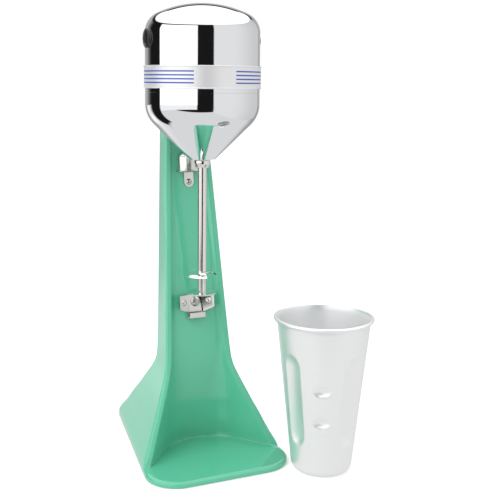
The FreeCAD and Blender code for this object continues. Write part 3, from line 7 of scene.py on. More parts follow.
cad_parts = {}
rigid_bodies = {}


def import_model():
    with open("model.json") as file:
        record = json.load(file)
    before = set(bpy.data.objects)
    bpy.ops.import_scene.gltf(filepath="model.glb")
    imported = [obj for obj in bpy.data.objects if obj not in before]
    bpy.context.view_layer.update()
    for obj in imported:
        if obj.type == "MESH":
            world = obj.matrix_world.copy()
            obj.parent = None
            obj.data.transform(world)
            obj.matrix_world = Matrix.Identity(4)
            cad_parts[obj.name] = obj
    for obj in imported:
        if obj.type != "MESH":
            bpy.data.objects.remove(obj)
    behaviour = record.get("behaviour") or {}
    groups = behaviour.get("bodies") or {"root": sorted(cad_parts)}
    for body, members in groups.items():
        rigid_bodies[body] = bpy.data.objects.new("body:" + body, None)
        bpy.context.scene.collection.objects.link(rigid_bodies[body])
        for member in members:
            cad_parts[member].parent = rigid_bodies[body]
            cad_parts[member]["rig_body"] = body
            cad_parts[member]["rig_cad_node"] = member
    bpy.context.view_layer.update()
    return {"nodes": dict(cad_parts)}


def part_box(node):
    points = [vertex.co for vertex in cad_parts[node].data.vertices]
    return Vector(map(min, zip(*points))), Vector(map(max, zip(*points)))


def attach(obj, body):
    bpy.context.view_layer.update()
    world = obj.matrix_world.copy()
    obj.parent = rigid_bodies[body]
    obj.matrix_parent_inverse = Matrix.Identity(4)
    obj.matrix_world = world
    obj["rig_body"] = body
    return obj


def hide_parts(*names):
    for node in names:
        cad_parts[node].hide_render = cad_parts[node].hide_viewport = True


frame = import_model()

MM = 0.001                                # lengths below are in millimetres unless they say metres
HEAD_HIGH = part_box("upper_housing")[1]
BOWL_LOW, BOWL_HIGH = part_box("lower_housing")
BAND_LOW, BAND_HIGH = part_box("trim_band")
CUP_LOW, CUP_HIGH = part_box("mixing_cup")
HEAD_RADIUS = (BOWL_HIGH.x - BOWL_LOW.x) / 2
CUP_AXIS = Vector(((CUP_LOW.x + CUP_HIGH.x) / 2, (CUP_LOW.y + CUP_HIGH.y) / 2, 0))

# ---------------------------------------------------------------- camera
CAMERA_YAW = math.radians(23.67)          # it looks to the right of straight back
CAMERA_PITCH = math.radians(6.9)          # and down
CAMERA_ROLL = math.radians(0.57)
CAMERA_HEIGHT = 0.3997                    # metres, as are the next two
CAMERA_AWAY = 0.9015                      # level distance to the spindle's axis
CAMERA_ASIDE = 0.0468                     # the axis lies this far left of the line of sight
LENS = 62.8                               # on a sensor this wide
SENSOR = 36.0
LENS_RAISED = 0.1217                      # as a share of the frame

ahead = Vector((math.sin(CAMERA_YAW), math.cos(CAMERA_YAW), 0))
rightward = Vector((math.cos(CAMERA_YAW), -math.sin(CAMERA_YAW), 0))
eye = rightward * CAMERA_ASIDE - ahead * CAMERA_AWAY + Vector((0, 0, CAMERA_HEIGHT))
turn = (Matrix.Rotation(-CAMERA_YAW, 4, "Z") @ Matrix.Rotation(math.pi / 2 - CAMERA_PITCH, 4, "X")
        @ Matrix.Rotation(CAMERA_ROLL, 4, "Z"))
bpy.ops.object.camera_add(location=eye, rotation=turn.to_euler())
camera = bpy.context.object
camera.name = "camera"
camera.data.sensor_width = SENSOR
camera.data.lens = LENS
camera.data.shift_y = -LENS_RAISED
camera.data.clip_start = 0.05
bpy.context.scene.camera = camera
bpy.context.scene.view_settings.view_transform = "Standard"


# ---------------------------------------------------------------- shader sockets
class Wire:
    """An output socket of a node tree. Arithmetic on it adds Math nodes."""

    def __init__(self, tree, socket):
        self.tree = tree
        self.socket = socket

    @staticmethod
    def node(tree, kind, settings=None, values=None, out=0):
        """A node of any type: its settings first, then the values or links of its sockets."""
        made = tree.nodes.new(kind)
        for name, setting in (settings or {}).items():
            if name == "stops":
                stops = made.color_ramp.elements
                while len(stops) < len(setting):
                    stops.new(0.5)
                for stop, (place, colour) in zip(stops, setting):
                    stop.position = place
                    stop.color = colour
            else:
                setattr(made, name, setting)
        for name, value in (values or {}).items():
            if isinstance(value, Wire):
                tree.links.new(value.socket, made.inputs[name])
            else:
                made.inputs[name].default_value = value
        return Wire(tree, made.outputs[out])

    def sum(self, operation, *values):
        """A Math node on these values, in this wire's tree."""
        return Wire.node(self.tree, "ShaderNodeMath", {"operation": operation},
                         dict(enumerate(values)))

    def __add__(self, other):
        return self.sum("ADD", self, other)

    def __radd__(self, other):
        return self.sum("ADD", other, self)

    def __sub__(self, other):
        return self.sum("SUBTRACT", self, other)

    def __rsub__(self, other):
        return self.sum("SUBTRACT", other, self)

    def __mul__(self, other):
        return self.sum("MULTIPLY", self, other)

    def __rmul__(self, other):
        return self.sum("MULTIPLY", other, self)

    def __gt__(self, other):
        return self.sum("GREATER_THAN", self, other)

    def __lt__(self, other):
        return self.sum("LESS_THAN", self, other)

    def most(self, other):
        return self.sum("MAXIMUM", self, other)

    def least(self, other):
        return self.sum("MINIMUM", self, other)

    def angle(self, other):
        """The angle of a point this far sideways and that far on, in degrees."""
        return self.sum("ARCTAN2", self, other) * math.degrees(1)

    def ease(self, low, high):
        """0 below low, 1 above high, smooth between."""
        return Wire.node(self.tree, "ShaderNodeMapRange", {"interpolation_type": "SMOOTHSTEP"},
                         {0: self, 1: low, 2: high, 3: 0.0, 4: 1.0})

    def between(self, low, high, soft=1.2):
        """1 from low to high, with soft edges."""
        return self.ease(low - soft, low + soft) * (1 - self.ease(high - soft, high + soft))


def blended(tree, share, first, second):
    """Two colours mixed by a share."""
    return Wire.node(tree, "ShaderNodeMix", {"data_type": "RGBA"}, {0: share, 6: first, 7: second},
                     out=2)


def place(tree):
    """Object coordinates, in metres."""
    return Wire.node(tree, "ShaderNodeTexCoord", out=3)


def parts_of(tree, vector):
    return [Wire.node(tree, "ShaderNodeSeparateXYZ", values={0: vector}, out=i) for i in range(3)]


def noise(tree, vector, scale, detail=2.0, stretch=(1, 1, 1)):
    spread = Wire.node(tree, "ShaderNodeMapping", values={0: vector, 3: stretch})
    return Wire.node(tree, "ShaderNodeTexNoise", values={"Vector": spread, "Scale": scale,
                                                        "Detail": detail})


def bump(tree, height, depth, strength=1.0):
    return Wire.node(tree, "ShaderNodeBump", values={"Height": height, "Distance": depth,
                                                    "Strength": strength})


def finish(name, colour, roughness, metallic=0.0, coat=0.0, coat_roughness=0.03, specular=0.5):
    """A material with its Principled shader set; returns it with its tree and shader."""
    material = bpy.data.materials.new(name)
    material.use_nodes = True
    tree = material.node_tree
    shader = tree.nodes["Principled BSDF"]
    shader.inputs["Base Color"].default_value = (*colour, 1)
    shader.inputs["Roughness"].default_value = roughness
    shader.inputs["Metallic"].default_value = metallic
    shader.inputs["Coat Weight"].default_value = coat
    shader.inputs["Coat Roughness"].default_value = coat_roughness
    shader.inputs["Specular IOR Level"].default_value = specular
    return material, tree, shader


def drive(tree, shader, **wires):
    """Links wires into the shader: base_color=, roughness=, normal=."""
    for name, wire in wires.items():
        tree.links.new(wire.socket, shader.inputs[name.replace("_", " ").title()])


# ---------------------------------------------------------------- finishes
def mint_enamel():
    """Glossy mint paint with a trace of orange peel and a slight change of depth."""
    material, tree, shader = finish("mint_enamel", (0.10, 0.50, 0.32), 0.16, coat=0.6)
    spot = place(tree)
    cloud = noise(tree, spot, 9.0)
    colour = blended(tree, cloud, (0.092, 0.488, 0.308, 1), (0.112, 0.515, 0.335, 1))
    peel = noise(tree, spot, 420.0, 1.0)
    drive(tree, shader, base_color=colour, roughness=0.13 + cloud * 0.07,
          normal=bump(tree, peel, 0.00002, 0.25))
    return material


def polished_chrome():
    """Mirror chrome of the motor head, with a trace of haze."""
    material, tree, shader = finish("polished_chrome", (0.86, 0.87, 0.89), 0.035, metallic=1.0)
    haze = noise(tree, place(tree), 35.0)
    drive(tree, shader, roughness=0.025 + haze.ease(0.45, 0.75) * 0.035)
    return material


def bright_nickel():
    """Nickel of the spindle and its nut, with faint turning lines."""
    material, tree, shader = finish("bright_nickel", (0.84, 0.825, 0.79), 0.16, metallic=1.0)
    lines = noise(tree, place(tree), 900.0, 1.0, (0.02, 0.02, 1))
    drive(tree, shader, roughness=0.13 + lines * 0.08, normal=bump(tree, lines, 0.00001, 0.15))
    return material


def bright_zinc():
    """Plated sheet of the brackets: bright, a little cloudy."""
    material, tree, shader = finish("bright_zinc", (0.74, 0.73, 0.71), 0.18, metallic=1.0)
    cloud = noise(tree, place(tree), 160.0, 3.0)
    drive(tree, shader, roughness=0.13 + cloud * 0.1)
    return material


def polished_aluminium():
    """Buffed sheet of the two agitators."""
    material, tree, shader = finish("polished_aluminium", (0.85, 0.85, 0.84), 0.07, metallic=1.0)
    drive(tree, shader, roughness=0.05 + noise(tree, place(tree), 220.0) * 0.06)
    return material


def spun_aluminium():
    """Fine turned rings round the cup, a few of them deeper."""
    material, tree, shader = finish("spun_aluminium", (0.90, 0.90, 0.895), 0.3, metallic=0.68)
    spot = place(tree)
    rings = noise(tree, spot, 2400.0, 2.0, (0.004, 0.004, 1))
    bands = noise(tree, spot, 300.0, 2.0, (0.01, 0.01, 1))
    cloud = noise(tree, spot, 25.0)
    shade = 0.35 * rings + 0.35 * bands + 0.3 * cloud
    colour = blended(tree, shade, (0.88, 0.885, 0.89, 1), (0.94, 0.945, 0.95, 1))
    drive(tree, shader, base_color=colour, roughness=0.27 + rings * 0.1 + cloud * 0.05,
          normal=bump(tree, rings + bands * 0.4, 0.00001, 0.25))
    return material


BAND_LINES = 4
LINE_BLUE = (0.035, 0.09, 0.42, 1)


def satin_band(low, high, bare_half, facing):
    """Satin metal with fine blue lines that stop short of a bare place at the front."""
    satin = (0.80, 0.80, 0.81, 1)
    material, tree, shader = finish("satin_band", satin[:3], 0.4, metallic=0.5)
    spot = place(tree)
    x, y, z = parts_of(tree, spot)
    away = facing[0] * x + facing[1] * y
    side = facing[1] * x - facing[0] * y
    turned = side.sum("ARCTAN2", side, away)
    turned = turned.sum("ABSOLUTE", turned)
    lined = turned.ease(bare_half, bare_half + 0.004)
    pitch = (high - low) / BAND_LINES
    above = z - low
    phase = above.sum("PINGPONG", above, pitch / 2)
    line = phase.ease(pitch * 0.30, pitch * 0.34) * (z > low) * (z < high) * lined
    brush = noise(tree, spot, 1500.0, 2.0, (0.01, 0.01, 1))
    drive(tree, shader, base_color=blended(tree, line, satin, LINE_BLUE),
          metallic=0.5 - line * 0.4, roughness=0.34 + brush * 0.12,
          normal=bump(tree, brush, 0.00001, 0.25))
    return material


def gloss_black():
    """Moulded black of the brush caps and the rocker."""
    material, tree, shader = finish("gloss_black", (0.012, 0.012, 0.013), 0.2)
    grain = noise(tree, place(tree), 260.0)
    drive(tree, shader, roughness=0.14 + grain * 0.16, normal=bump(tree, grain, 0.00002, 0.2))
    return material


def matt_black():
    """Grained black plastic."""
    material, tree, shader = finish("matt_black", (0.02, 0.02, 0.021), 0.5)
    grain = noise(tree, place(tree), 900.0, 2.0)
    drive(tree, shader, roughness=0.42 + grain * 0.2, normal=bump(tree, grain, 0.00005, 0.3))
    return material


def soft_rubber():
    """Dull rubber of the feet and the grommet."""
    material, tree, shader = finish("soft_rubber", (0.022, 0.022, 0.022), 0.7)
    grain = noise(tree, place(tree), 600.0, 3.0)
    drive(tree, shader, roughness=0.62 + grain * 0.2, normal=bump(tree, grain, 0.0001, 0.3))
    return material


def plain_metal(name, colour, rough, scale=300.0):
    """Inner and lower metal: castings, laminations, copper, brass, plate."""
    material, tree, shader = finish(name, colour, rough, metallic=1.0)
    grain = noise(tree, place(tree), scale, 3.0)
    darker = tuple(part * 0.8 for part in colour)
    drive(tree, shader, base_color=blended(tree, grain, (*darker, 1), (*colour, 1)),
          roughness=rough * 0.8 + grain * rough * 0.4, normal=bump(tree, grain, 0.00005, 0.3))
    return material


# ---------------------------------------------------------------- modelling
JOINED = 0.002 * MM                       # points nearer than this become one


def deselect():
    bpy.ops.object.select_all(action="DESELECT")


def select_only(piece):
    deselect()
    piece.select_set(True)
    bpy.context.view_layer.objects.active = piece


def arc(centre_r, centre_z, radius, start, end, count):
    """Points on a circle in the outline's plane, by angles in degrees from the radius."""
    points = []
    for i in range(count + 1):
        angle = math.radians(start + (end - start) * i / count)
        points.append((centre_r + radius * math.cos(angle), centre_z + radius * math.sin(angle)))
    return points


def spun(name, outline, steps=128, smooth=35, centre=(0, 0)):
    """A turned piece: one vertex extruded along the outline (radius, height), then spun round."""
    deselect()
    bpy.ops.mesh.primitive_plane_add(size=MM)
    piece = bpy.context.object
    piece.name = name
    bpy.ops.object.mode_set(mode="EDIT")
    bpy.ops.mesh.merge(type="CENTER")
    bpy.ops.transform.translate(value=(outline[0][0], 0, outline[0][1]))
    for (r0, z0), (r1, z1) in zip(outline, outline[1:]):
        bpy.ops.mesh.extrude_vertices_move(
            TRANSFORM_OT_translate={"value": (r1 - r0, 0, z1 - z0)})
    bpy.ops.mesh.select_all(action="SELECT")
    bpy.ops.mesh.spin(steps=steps, angle=2 * math.pi, center=(0, 0, 0), axis=(0, 0, 1))
    bpy.ops.mesh.select_all(action="SELECT")
    bpy.ops.mesh.remove_doubles(threshold=JOINED)
    bpy.ops.mesh.normals_make_consistent(inside=False)
    bpy.ops.transform.translate(value=(centre[0], centre[1], 0))
    bpy.ops.object.mode_set(mode="OBJECT")
    bpy.ops.object.shade_smooth_by_angle(angle=math.radians(smooth))
    return piece


def settle(piece):
    """Puts a piece's place into its mesh, so that its object sits at the origin, unturned."""
    select_only(piece)
    bpy.ops.object.transform_apply(location=True, rotation=True, scale=True)
    return piece


def wear(piece, material, body, *nodes):
    """Gives a piece its one material, the body it rides on, and the CAD nodes it stands for."""
    piece.data.materials.clear()
    piece.data.materials.append(material)
    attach(piece, body)
    if nodes:
        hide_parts(*nodes)
    return piece


def dressed(node, material, body, smooth=30):
    """A joined-up, smoothly shaded copy of a CAD node."""
    select_only(frame["nodes"][node])
    bpy.ops.object.duplicate()
    piece = bpy.context.object
    piece.name = node + "_finished"
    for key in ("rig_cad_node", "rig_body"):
        if key in piece:
            del piece[key]
    bpy.ops.object.mode_set(mode="EDIT")
    bpy.ops.mesh.select_all(action="SELECT")
    bpy.ops.mesh.remove_doubles(threshold=JOINED)
    bpy.ops.object.mode_set(mode="OBJECT")
    bpy.ops.object.shade_smooth_by_angle(angle=math.radians(smooth))
    flatter = piece.modifiers.new("flat faces", "WEIGHTED_NORMAL")
    flatter.keep_sharp = True
    bpy.ops.object.modifier_apply(modifier=flatter.name)
    return wear(piece, material, body, node)


def coated(material, *nodes):
    """New material on CAD nodes that keep their own meshes."""
    for node in nodes:
        slots = frame["nodes"][node].data.materials
        slots.clear()
        slots.append(material)


def mm(points):
    """An outline's points from millimetres to metres."""
    return [(r * MM, z * MM) for r, z in points]


# ---------------------------------------------------------------- studio
WHITE = (1, 1, 1, 1)
# Directions from the mixer in degrees: sideways from the lens (left is less than 0), and upwards.
LEFT_SCREEN, LEFT_SCREEN_UP = (-90, -7), (-22, 24)
RIGHT_SCREEN, RIGHT_SCREEN_UP = (25, 148), (-22, 28)
CEILING_UP = (27, 31)
BRIGHT, GREY, DARK = 1.5, 0.46, 0.01      # the left screen and ceiling, the backdrop, the room
ROOM_SHARE, EVEN_SHARE = 0.75, 0.38       # what lights dull surfaces: the room and an even part
FLOOR_SIZE = 12                           # metres, as are the places on the floor below
FLOOR_ENDS = (0.66, 0.74)                 # in front, as the metal sees it
FLOOR_LIFT = 0.25                         # keeps the floor white to the lens round the shadow


def right_screen_shade(side):
    """Pale grey, a little darker towards its far edge."""
    return 0.84 - side.ease(60, 140) * 0.2


def studio_world():
    """White to the camera; to the metal, a dark room with two side screens and a white ceiling."""
    world = bpy.data.worlds.new("studio")
    bpy.context.scene.world = world
    world.use_nodes = True
    tree = world.node_tree
    background = tree.nodes["Background"]
    direction = Wire.node(tree, "ShaderNodeTexCoord")

    def along(axis):
        return Wire.node(tree, "ShaderNodeVectorMath", {"operation": "DOT_PRODUCT"},
                         {0: direction, 1: axis}, out=1)

    side = along(rightward).angle(along(-ahead))
    upward = along(Vector((0, 0, 1)))
    height = upward.sum("ARCSINE", upward) * math.degrees(1)
    behind = (side * -1).ease(118, 150) + side.ease(146, 152)
    left_screen = side.between(*LEFT_SCREEN) * height.between(*LEFT_SCREEN_UP) * BRIGHT
    right_screen = side.between(*RIGHT_SCREEN) * height.between(*RIGHT_SCREEN_UP)
    right_screen = right_screen * right_screen_shade(side)
    ceiling = height.ease(*CEILING_UP) * BRIGHT
    backdrop = behind * (1 - height.ease(20, 25)) * GREY
    seen = left_screen + right_screen + ceiling + backdrop + DARK
    camera_ray, glossy_ray = rays(tree)
    lighting = seen.least(1.0) * ROOM_SHARE + EVEN_SHARE
    strength = lighting * (1 - glossy_ray) + seen * glossy_ray
    strength = strength * (1 - camera_ray) + camera_ray
    tree.links.new(strength.socket, background.inputs["Strength"])
    background.inputs["Color"].default_value = WHITE
    return world


def rays(tree):
    """Whether a ray comes from the camera, and whether it was mirrored."""
    return [Wire.node(tree, "ShaderNodeLightPath", out=i) for i in (0, 3)]


def painted_floor_reflection(tree, spot):
    """Painted reflection: how brightly the floor glows to the metal, pale and near, with painted
    dark patches and painted screens further out.
    """
    x, y, z = parts_of(tree, spot)
    depth = x * ahead.x + y * ahead.y
    across = x * rightward.x + y * rightward.y
    distance = Wire.node(tree, "ShaderNodeVectorMath", {"operation": "LENGTH"}, {0: spot}, out=1)
    side = across.angle(depth * -1)
    # Painted shade and light: these dark and pale patches and the two screens are painted into the
    # floor's glow.
    dark_left = side.ease(-124, -116) * (1 - side.ease(-92, -88)) * distance.ease(0.28, 0.36)
    dark = (depth * -1).ease(*FLOOR_ENDS).most(dark_left)
    pale_left = side.ease(-152, -134) * (1 - side.ease(-134, -118)) * distance.ease(0.3, 1.0)
    near = 0.76 - depth.ease(0.3, 0.9) * 0.40 + pale_left * 0.7
    left_screen = side.ease(-90, -87) * (1 - side.ease(-9, -6)) * distance.ease(1.1, 1.2)
    right_edge = (across - depth * 0.2).ease(0.42, 0.45)
    right_screen = right_edge * side.ease(23, 27) * (1 - side.ease(146, 150))
    painted_glow = near * (1 - dark) + DARK
    painted_glow = painted_glow * (1 - left_screen) + left_screen
    return painted_glow * (1 - right_screen) + right_screen * right_screen_shade(side)


def white_floor():
    """A white floor: it holds the shadow, and to the metal it glows with a painted reflection of a
    studio floor and screens.
    """
    deselect()
    bpy.ops.mesh.primitive_plane_add(size=FLOOR_SIZE, location=(0, 0, 0))
    floor = bpy.context.object
    floor.name = "floor"
    material, tree, shader = finish("white_floor", (0.9, 0.9, 0.9), 0.6, specular=0.1)
    output = next(n for n in tree.nodes if n.type == "OUTPUT_MATERIAL")
    camera_ray, glossy_ray = rays(tree)
    plain = Wire(tree, shader.outputs[0])
    painted_glow = painted_floor_reflection(tree, place(tree))
    # To mirrored rays the floor is an emission of painted reflection; to the lens it gets an even
    # lift.
    lift, mirrored = [Wire.node(tree, "ShaderNodeEmission",
                                values={"Color": WHITE, "Strength": strength})
                      for strength in (FLOOR_LIFT, painted_glow)]
    lit = Wire.node(tree, "ShaderNodeAddShader", values={0: plain, 1: lift})
    seen = Wire.node(tree, "ShaderNodeMixShader", values={0: camera_ray, 1: plain, 2: lit})
    whole = Wire.node(tree, "ShaderNodeMixShader", values={0: glossy_ray, 1: seen, 2: mirrored})
    tree.links.new(whole.socket, output.inputs["Surface"])
    floor.data.materials.append(material)
    return floor


LAMP_SIZE, LAMP_POWER = 1.2, 14           # metres and watts


def key_light():
    """A large soft lamp high on the left, kept out of reflections."""
    spot = Vector((0, 0, 1.5)) - ahead * 0.9 - rightward * 1.1
    aim = Vector((0, 0, 0.2)) - spot
    bpy.ops.object.light_add(type="AREA", location=spot,
                             rotation=aim.to_track_quat("-Z", "Y").to_euler())
    lamp = bpy.context.object
    lamp.name = "key_light"
    lamp.data.size = LAMP_SIZE
    lamp.data.energy = LAMP_POWER
    lamp.visible_glossy = False
    return lamp


studio_world()
white_floor()
key_light()

# ---------------------------------------------------------------- motor head
WALL = 1.5
SHOULDER = 21.6                           # rounding of the dome
DOME_START = 450.0                        # it starts to round this far above the ground
BOWL_START, BOWL_SHOULDER = 377.3, 30.0
LIP = 6                                   # the bowl's lip reaches this far into the dome
NECK_HOLE = 6.0                           # radius of the hole for the spindle
SEAM = BOWL_HIGH.z / MM - LIP
EDGE = 0.35                               # broken edges at the seam
HEAD_STEPS = 160                          # round the dome, bowl and band


def head_numbers():
    """Radius, top, and the crown's circle, that runs smoothly into the shoulder."""
    radius = HEAD_RADIUS / MM
    top = HEAD_HIGH.z / MM
    side = radius - SHOULDER
    rise = top - DOME_START - SHOULDER
    drop = (side ** 2 - rise ** 2) / (2 * rise)
    crown = drop + top - DOME_START
    lean = math.degrees(math.asin(side / (crown - SHOULDER)))
    return radius, side, drop, crown, lean


def dome():
    """The upper housing, open below, with its wall's inside."""
    radius, side, drop, crown, lean = head_numbers()
    skin = [(radius - EDGE, SEAM), (radius, SEAM + EDGE)]
    skin += [(radius, SEAM + EDGE + (DOME_START - SEAM - EDGE) * i / 8) for i in range(1, 8)]
    skin += arc(side, DOME_START, SHOULDER, 0, 90 - lean, 22)
    skin += arc(0, DOME_START - drop, crown, 90 - lean, 90, 16)[1:]
    lining = arc(0, DOME_START - drop, crown - WALL, 90, 90 - lean, 16)
    lining += arc(side, DOME_START, SHOULDER - WALL, 90 - lean, 0, 12)[1:]
    lining += [(radius - WALL, SEAM), (radius - EDGE, SEAM)]
    return spun("dome", mm(skin + lining), HEAD_STEPS)


def bowl():
    """The lower housing: a round shoulder, a cone at 45 degrees, and the spindle's hole."""
    radius = HEAD_RADIUS / MM
    middle = radius - BOWL_SHOULDER
    low = BOWL_LOW.z / MM
    skin = [(radius - EDGE, SEAM), (radius, SEAM - EDGE), (radius, (SEAM + BOWL_START) / 2)]
    skin += arc(middle, BOWL_START, BOWL_SHOULDER, 0, -45, 20)
    end_r, end_z = skin[-1]
    neck = end_r - (end_z - low)
    skin += [(end_r + (neck - end_r) * i / 10, end_z + (low - end_z) * i / 10)
             for i in range(1, 11)]
    skin += [(NECK_HOLE, low), (NECK_HOLE, low + WALL), (neck - 0.6, low + WALL)]
    lining = arc(middle, BOWL_START, BOWL_SHOULDER - WALL, -45, 0, 12)
    lining += [(radius - WALL, SEAM), (radius - EDGE, SEAM)]
    return spun("bowl", mm(skin + lining), HEAD_STEPS)


def band():
    """The trim band: a flat face between two beads."""
    radius = HEAD_RADIUS / MM
    bead, proud = 1.4, 0.6
    face = BAND_HIGH.x / MM - proud
    low, high = BAND_LOW.z / MM, BAND_HIGH.z / MM
    curve = (bead ** 2 / 4 + proud ** 2) / (2 * proud)
    half = math.degrees(math.asin(bead / 2 / curve))
    outline = [(radius, low)]
    outline += arc(face + proud - curve, low + bead / 2, curve, -half, half, 10)
    outline += [(face, low + bead + (high - low - 2 * bead) * i / 6) for i in range(1, 6)]
    outline += arc(face + proud - curve, high - bead / 2, curve, -half, half, 10)
    outline += [(radius, high), (radius, low)]
    return spun("band", mm(outline), HEAD_STEPS, smooth=50)


CAP_FLANK = 0.35                          # how far up the cap its dome starts, as a share
CAP_SUNK = 2.5                            # how far it reaches into the head
SLOT_WIDE, SLOT_TALL = 1.6, 1.1


def brush_cap(side):
    """Domed screw cap over a brush, with a short slot for a coin."""
    radius = HEAD_RADIUS / MM
    low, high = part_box("brush_caps")
    half, rise = (high.z - low.z) / 2 / MM, high.x / MM - radius
    outline = [(0.0, -CAP_SUNK), (half - 1.2, -CAP_SUNK), (half - 0.4, 0.1), (half, 0.6),
               (half, rise * CAP_FLANK)]
    outline += [(half * math.cos(t), rise * (CAP_FLANK + (1 - CAP_FLANK) * math.sin(t)))
                for t in (math.radians(a) for a in (15, 30, 45, 60, 75))]
    outline.append((0.0, rise))
    piece = spun(f"brush_cap_{'right' if side > 0 else 'left'}", mm(outline), 96, smooth=40)
    deselect()
    bpy.ops.mesh.primitive_cube_add(size=1, location=(0, 0, rise * MM))
    tool = bpy.context.object
    tool.scale = (half * MM, SLOT_WIDE * MM, SLOT_TALL * MM)
    cutter = piece.modifiers.new("slot", "BOOLEAN")
    cutter.object = tool
    cutter.solver = "EXACT"
    select_only(piece)
    bpy.ops.object.modifier_apply(modifier=cutter.name)
    bpy.data.objects.remove(tool)
    piece.rotation_euler = (0, side * math.pi / 2, 0)
    piece.location = (side * radius * MM, 0, (low.z + high.z) / 2)
    settle(piece)
    bpy.ops.object.shade_smooth_by_angle(angle=math.radians(40))
    return piece


CHROME = polished_chrome()
NICKEL = bright_nickel()
ZINC = bright_zinc()
wear(dome(), CHROME, "stand", "upper_housing")
wear(bowl(), CHROME, "stand", "lower_housing")
BARE_HALF = math.radians(20.5)
BARE_TURN = math.radians(15.5)            # the bare place looks a little to the right of the lens
FRONT = rightward * math.sin(BARE_TURN) - ahead * math.cos(BARE_TURN)
MARGIN = (BAND_HIGH.z - BAND_LOW.z) * 0.17
wear(band(), satin_band(BAND_LOW.z + MARGIN, BAND_HIGH.z - MARGIN, BARE_HALF, FRONT),
     "stand", "trim_band")
BAKELITE = gloss_black()
for side in (-1, 1):
    wear(brush_cap(side), BAKELITE, "stand", "brush_caps")

# ---------------------------------------------------------------- spindle
SHAFT_LOW, SHAFT_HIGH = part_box("spindle_shaft")
NUT_LOW, NUT_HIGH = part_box("spindle_nut")
SHAFT_RADIUS, STEP_RADIUS, TIP_RADIUS = 4.75, 4.5, 3.5
UPPER_SHOULDER, LOWER_SHOULDER = 199.0, 175.4     # heights of the seats of the two agitators
NUT_BORE, NUT_FOOT, NUT_RADIUS = 4.78, 7.0, 8.6


def shaft():
    """Stepped spindle with its shoulders over both agitators."""
    low, high = SHAFT_LOW.z / MM, SHAFT_HIGH.z / MM
    start = UPPER_SHOULDER + SHAFT_RADIUS - STEP_RADIUS
    outline = [(0, low), (TIP_RADIUS, low), (TIP_RADIUS, LOWER_SHOULDER),
               (STEP_RADIUS - 0.3, LOWER_SHOULDER), (STEP_RADIUS, LOWER_SHOULDER + 0.3),
               (STEP_RADIUS, UPPER_SHOULDER - 0.02), (STEP_RADIUS, UPPER_SHOULDER),
               (SHAFT_RADIUS, start)]
    outline += [(SHAFT_RADIUS, start + (high - start) * i / 6) for i in range(1, 7)]
    outline.append((0, high))
    return spun("shaft", mm(outline), 64)


def collar():
    """The nut under the bowl, wider upwards."""
    low, high = NUT_LOW.z / MM, NUT_HIGH.z / MM
    outline = [(NUT_BORE, low), (NUT_FOOT - 0.3, low), (NUT_FOOT, low + 0.3),
               (NUT_RADIUS - 0.15, low + 3.6), (NUT_RADIUS, low + 4.0),
               (NUT_RADIUS, high - 0.7), (NUT_RADIUS - 0.4, high), (NUT_BORE, high),
               (NUT_BORE, low)]
    return spun("collar", mm(outline), 64)


wear(shaft(), NICKEL, "spindle", "spindle_shaft")
wear(collar(), NICKEL, "spindle", "spindle_nut")
AGITATOR = polished_aluminium()
dressed("butterfly_agitator", AGITATOR, "spindle", 40)
dressed("dish_agitator", AGITATOR, "spindle", 40)
dressed("spindle_tip", NICKEL, "spindle", 40)

# ---------------------------------------------------------------- stand
MINT = mint_enamel()
dressed("stand_shell", MINT, "stand", 40)
for node in ("cup_rest", "cup_rim_catch", "cup_rest_studs"):
    dressed(node, ZINC, "stand", 40)
SCREW = plain_metal("screw_steel", (0.66, 0.65, 0.63), 0.22)
for node in ("cup_rest_screw", "catch_screw"):
    dressed(node, SCREW, "stand", 40)
BLACK = matt_black()
RUBBER = soft_rubber()
dressed("switch_bezel", BLACK, "stand", 30)
dressed("switch_rocker", BAKELITE, "rocker", 30)
dressed("cord_grommet", RUBBER, "stand", 30)
dressed("rubber_feet", RUBBER, "stand", 30)
coated(plain_metal("plate_steel", (0.5, 0.5, 0.5), 0.4), "base_plate")
coated(SCREW, "base_plate_screws", "head_bolts", "motor_bolts", "switch_pin", "brush_springs")
coated(plain_metal("brass", (0.70, 0.52, 0.25), 0.3), "brush_holders")
coated(BLACK, "carbon_brushes", "cooling_fan")
coated(plain_metal("casting", (0.55, 0.55, 0.56), 0.55), "motor_mount", "lower_bearing_bracket",
       "upper_bearing_bracket")
coated(plain_metal("laminations", (0.25, 0.25, 0.26), 0.5), "stator_core", "armature_core")
coated(plain_metal("copper", (0.62, 0.27, 0.13), 0.35), "field_coils", "armature_winding",
       "commutator")
coated(plain_metal("bronze", (0.5, 0.34, 0.17), 0.4), "lower_bearing", "upper_bearing")
coated(plain_metal("ground_steel", (0.55, 0.55, 0.56), 0.25), "motor_shaft")

# ---------------------------------------------------------------- mixing cup
CUP_FOOT, CUP_MOUTH = 31.0, 48.6          # outer radius at the ground and under the bead
CUP_BEAD, CUP_ROUND, CUP_METAL = 1.9, 8.0, 1.0
CUP_KICK = 1.5                            # the bottom is this far off the table
CUP_TALL = (CUP_HIGH.z - CUP_LOW.z) / MM
CUP_TURN = math.radians(241)              # where the thumb dimples face
CUP_SLOPE = (CUP_MOUTH - CUP_FOOT) / (CUP_TALL - CUP_BEAD)
CUP_LEAN = math.atan(CUP_SLOPE)
FLUTES = 4
FLUTE_RADIUS, FLUTE_DEPTH, FLUTE_LOW, FLUTE_HIGH = 26.0, 3.4, 45.0, 116.0
DIMPLE_DEPTH, DIMPLE_TALL, DIMPLE_WIDE = 3.0, 7.4, 14.5
DIMPLES = (61.0, 95.0)                    # heights of their middles
PLAIN_BELOW, PLAIN_ABOVE = 12, 140        # the wall is only pressed in between these


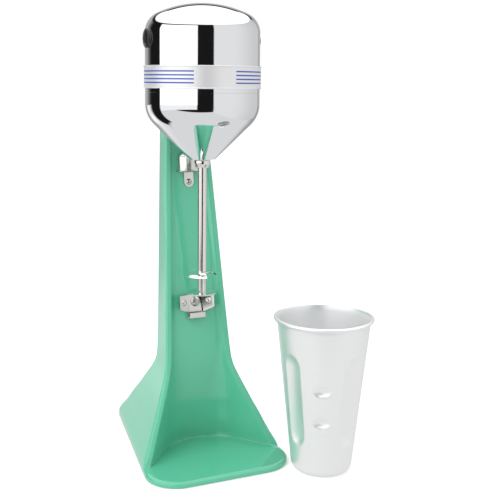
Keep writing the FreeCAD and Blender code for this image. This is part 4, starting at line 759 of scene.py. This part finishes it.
def cup_outline():
    """Outside from the foot to the rolled rim, then down the inside."""
    corner = CUP_FOOT + CUP_SLOPE * CUP_ROUND - CUP_ROUND / math.cos(CUP_LEAN)
    lean = math.degrees(CUP_LEAN)
    rim_z = CUP_TALL - CUP_BEAD
    rows = 92

    def wall(metal):
        start = corner + (CUP_ROUND - metal) * math.cos(CUP_LEAN)
        base = CUP_ROUND - (CUP_ROUND - metal) * math.sin(CUP_LEAN)
        end = CUP_FOOT + CUP_SLOPE * rim_z - metal / math.cos(CUP_LEAN)
        return [(start + (end - start) * i / rows, base + (rim_z - base) * i / rows)
                for i in range(rows + 1)]

    outside = [(0, CUP_KICK), (corner - 3 * CUP_KICK, CUP_KICK), (corner - CUP_KICK, 0.15)]
    outside += arc(corner, CUP_ROUND, CUP_ROUND, -90, -lean, 10) + wall(0)[1:-3]
    rim = CUP_MOUTH + CUP_BEAD - 0.6 * CUP_METAL
    roll = arc(rim, rim_z, CUP_BEAD, -165, 165, 22)
    inside = wall(CUP_METAL)[:-2][::-1]
    inside += arc(corner, CUP_ROUND, CUP_ROUND - CUP_METAL, -lean, -90, 8)[1:]
    inside += [(corner - CUP_KICK, CUP_METAL + 0.15),
               (corner - 3 * CUP_KICK, CUP_KICK + CUP_METAL), (0, CUP_KICK + CUP_METAL)]
    return outside + roll + inside


def turned_from(angle, start):
    """The angle from a start, between half a turn back and half a turn on."""
    return (angle - start + math.pi) % (2 * math.pi) - math.pi


def sunk(angle, height, radius):
    """How deep the wall is pressed in there by a flute or a dimple."""
    depth = 0.0
    away = radius + FLUTE_RADIUS - FLUTE_DEPTH
    beyond = max(FLUTE_LOW - height, height - FLUTE_HIGH, 0)
    reach = FLUTE_RADIUS ** 2 - beyond ** 2
    for i in range(FLUTES):
        off = turned_from(angle, CUP_TURN + math.radians((i + 0.5) * 360 / FLUTES))
        inside = reach - (away * math.sin(off)) ** 2
        if inside > 0 and abs(off) < 1:
            depth = max(depth, radius - away * math.cos(off) + math.sqrt(inside))
    off = turned_from(angle, CUP_TURN)
    away = radius + DIMPLE_TALL - DIMPLE_DEPTH
    for middle in DIMPLES:
        a = (math.cos(off) / DIMPLE_TALL) ** 2 + (math.sin(off) / DIMPLE_WIDE) ** 2
        b = away * math.cos(off) / DIMPLE_TALL ** 2
        c = (away / DIMPLE_TALL) ** 2 + ((height - middle) / DIMPLE_TALL) ** 2 - 1
        inside = b * b - a * c
        if inside > 0 and abs(off) < 1:
            depth = max(depth, radius - (b - math.sqrt(inside)) / a)
    return depth


def cup():
    """The spun cup, its wall pressed in at the flutes and dimples."""
    piece = spun("cup", mm(cup_outline()), 288, smooth=60)
    for vertex in piece.data.vertices:
        x, y, height = vertex.co / MM
        radius = math.hypot(x, y)
        wall = CUP_FOOT + CUP_SLOPE * height
        if not PLAIN_BELOW <= height <= PLAIN_ABOVE or radius < wall - 2:
            continue
        depth = sunk(math.atan2(y, x), height, wall)
        if depth > 0:
            share = 1 - depth / radius
            vertex.co.x *= share
            vertex.co.y *= share
    piece.location = CUP_AXIS
    return settle(piece)


wear(cup(), spun_aluminium(), "cup", "mixing_cup")
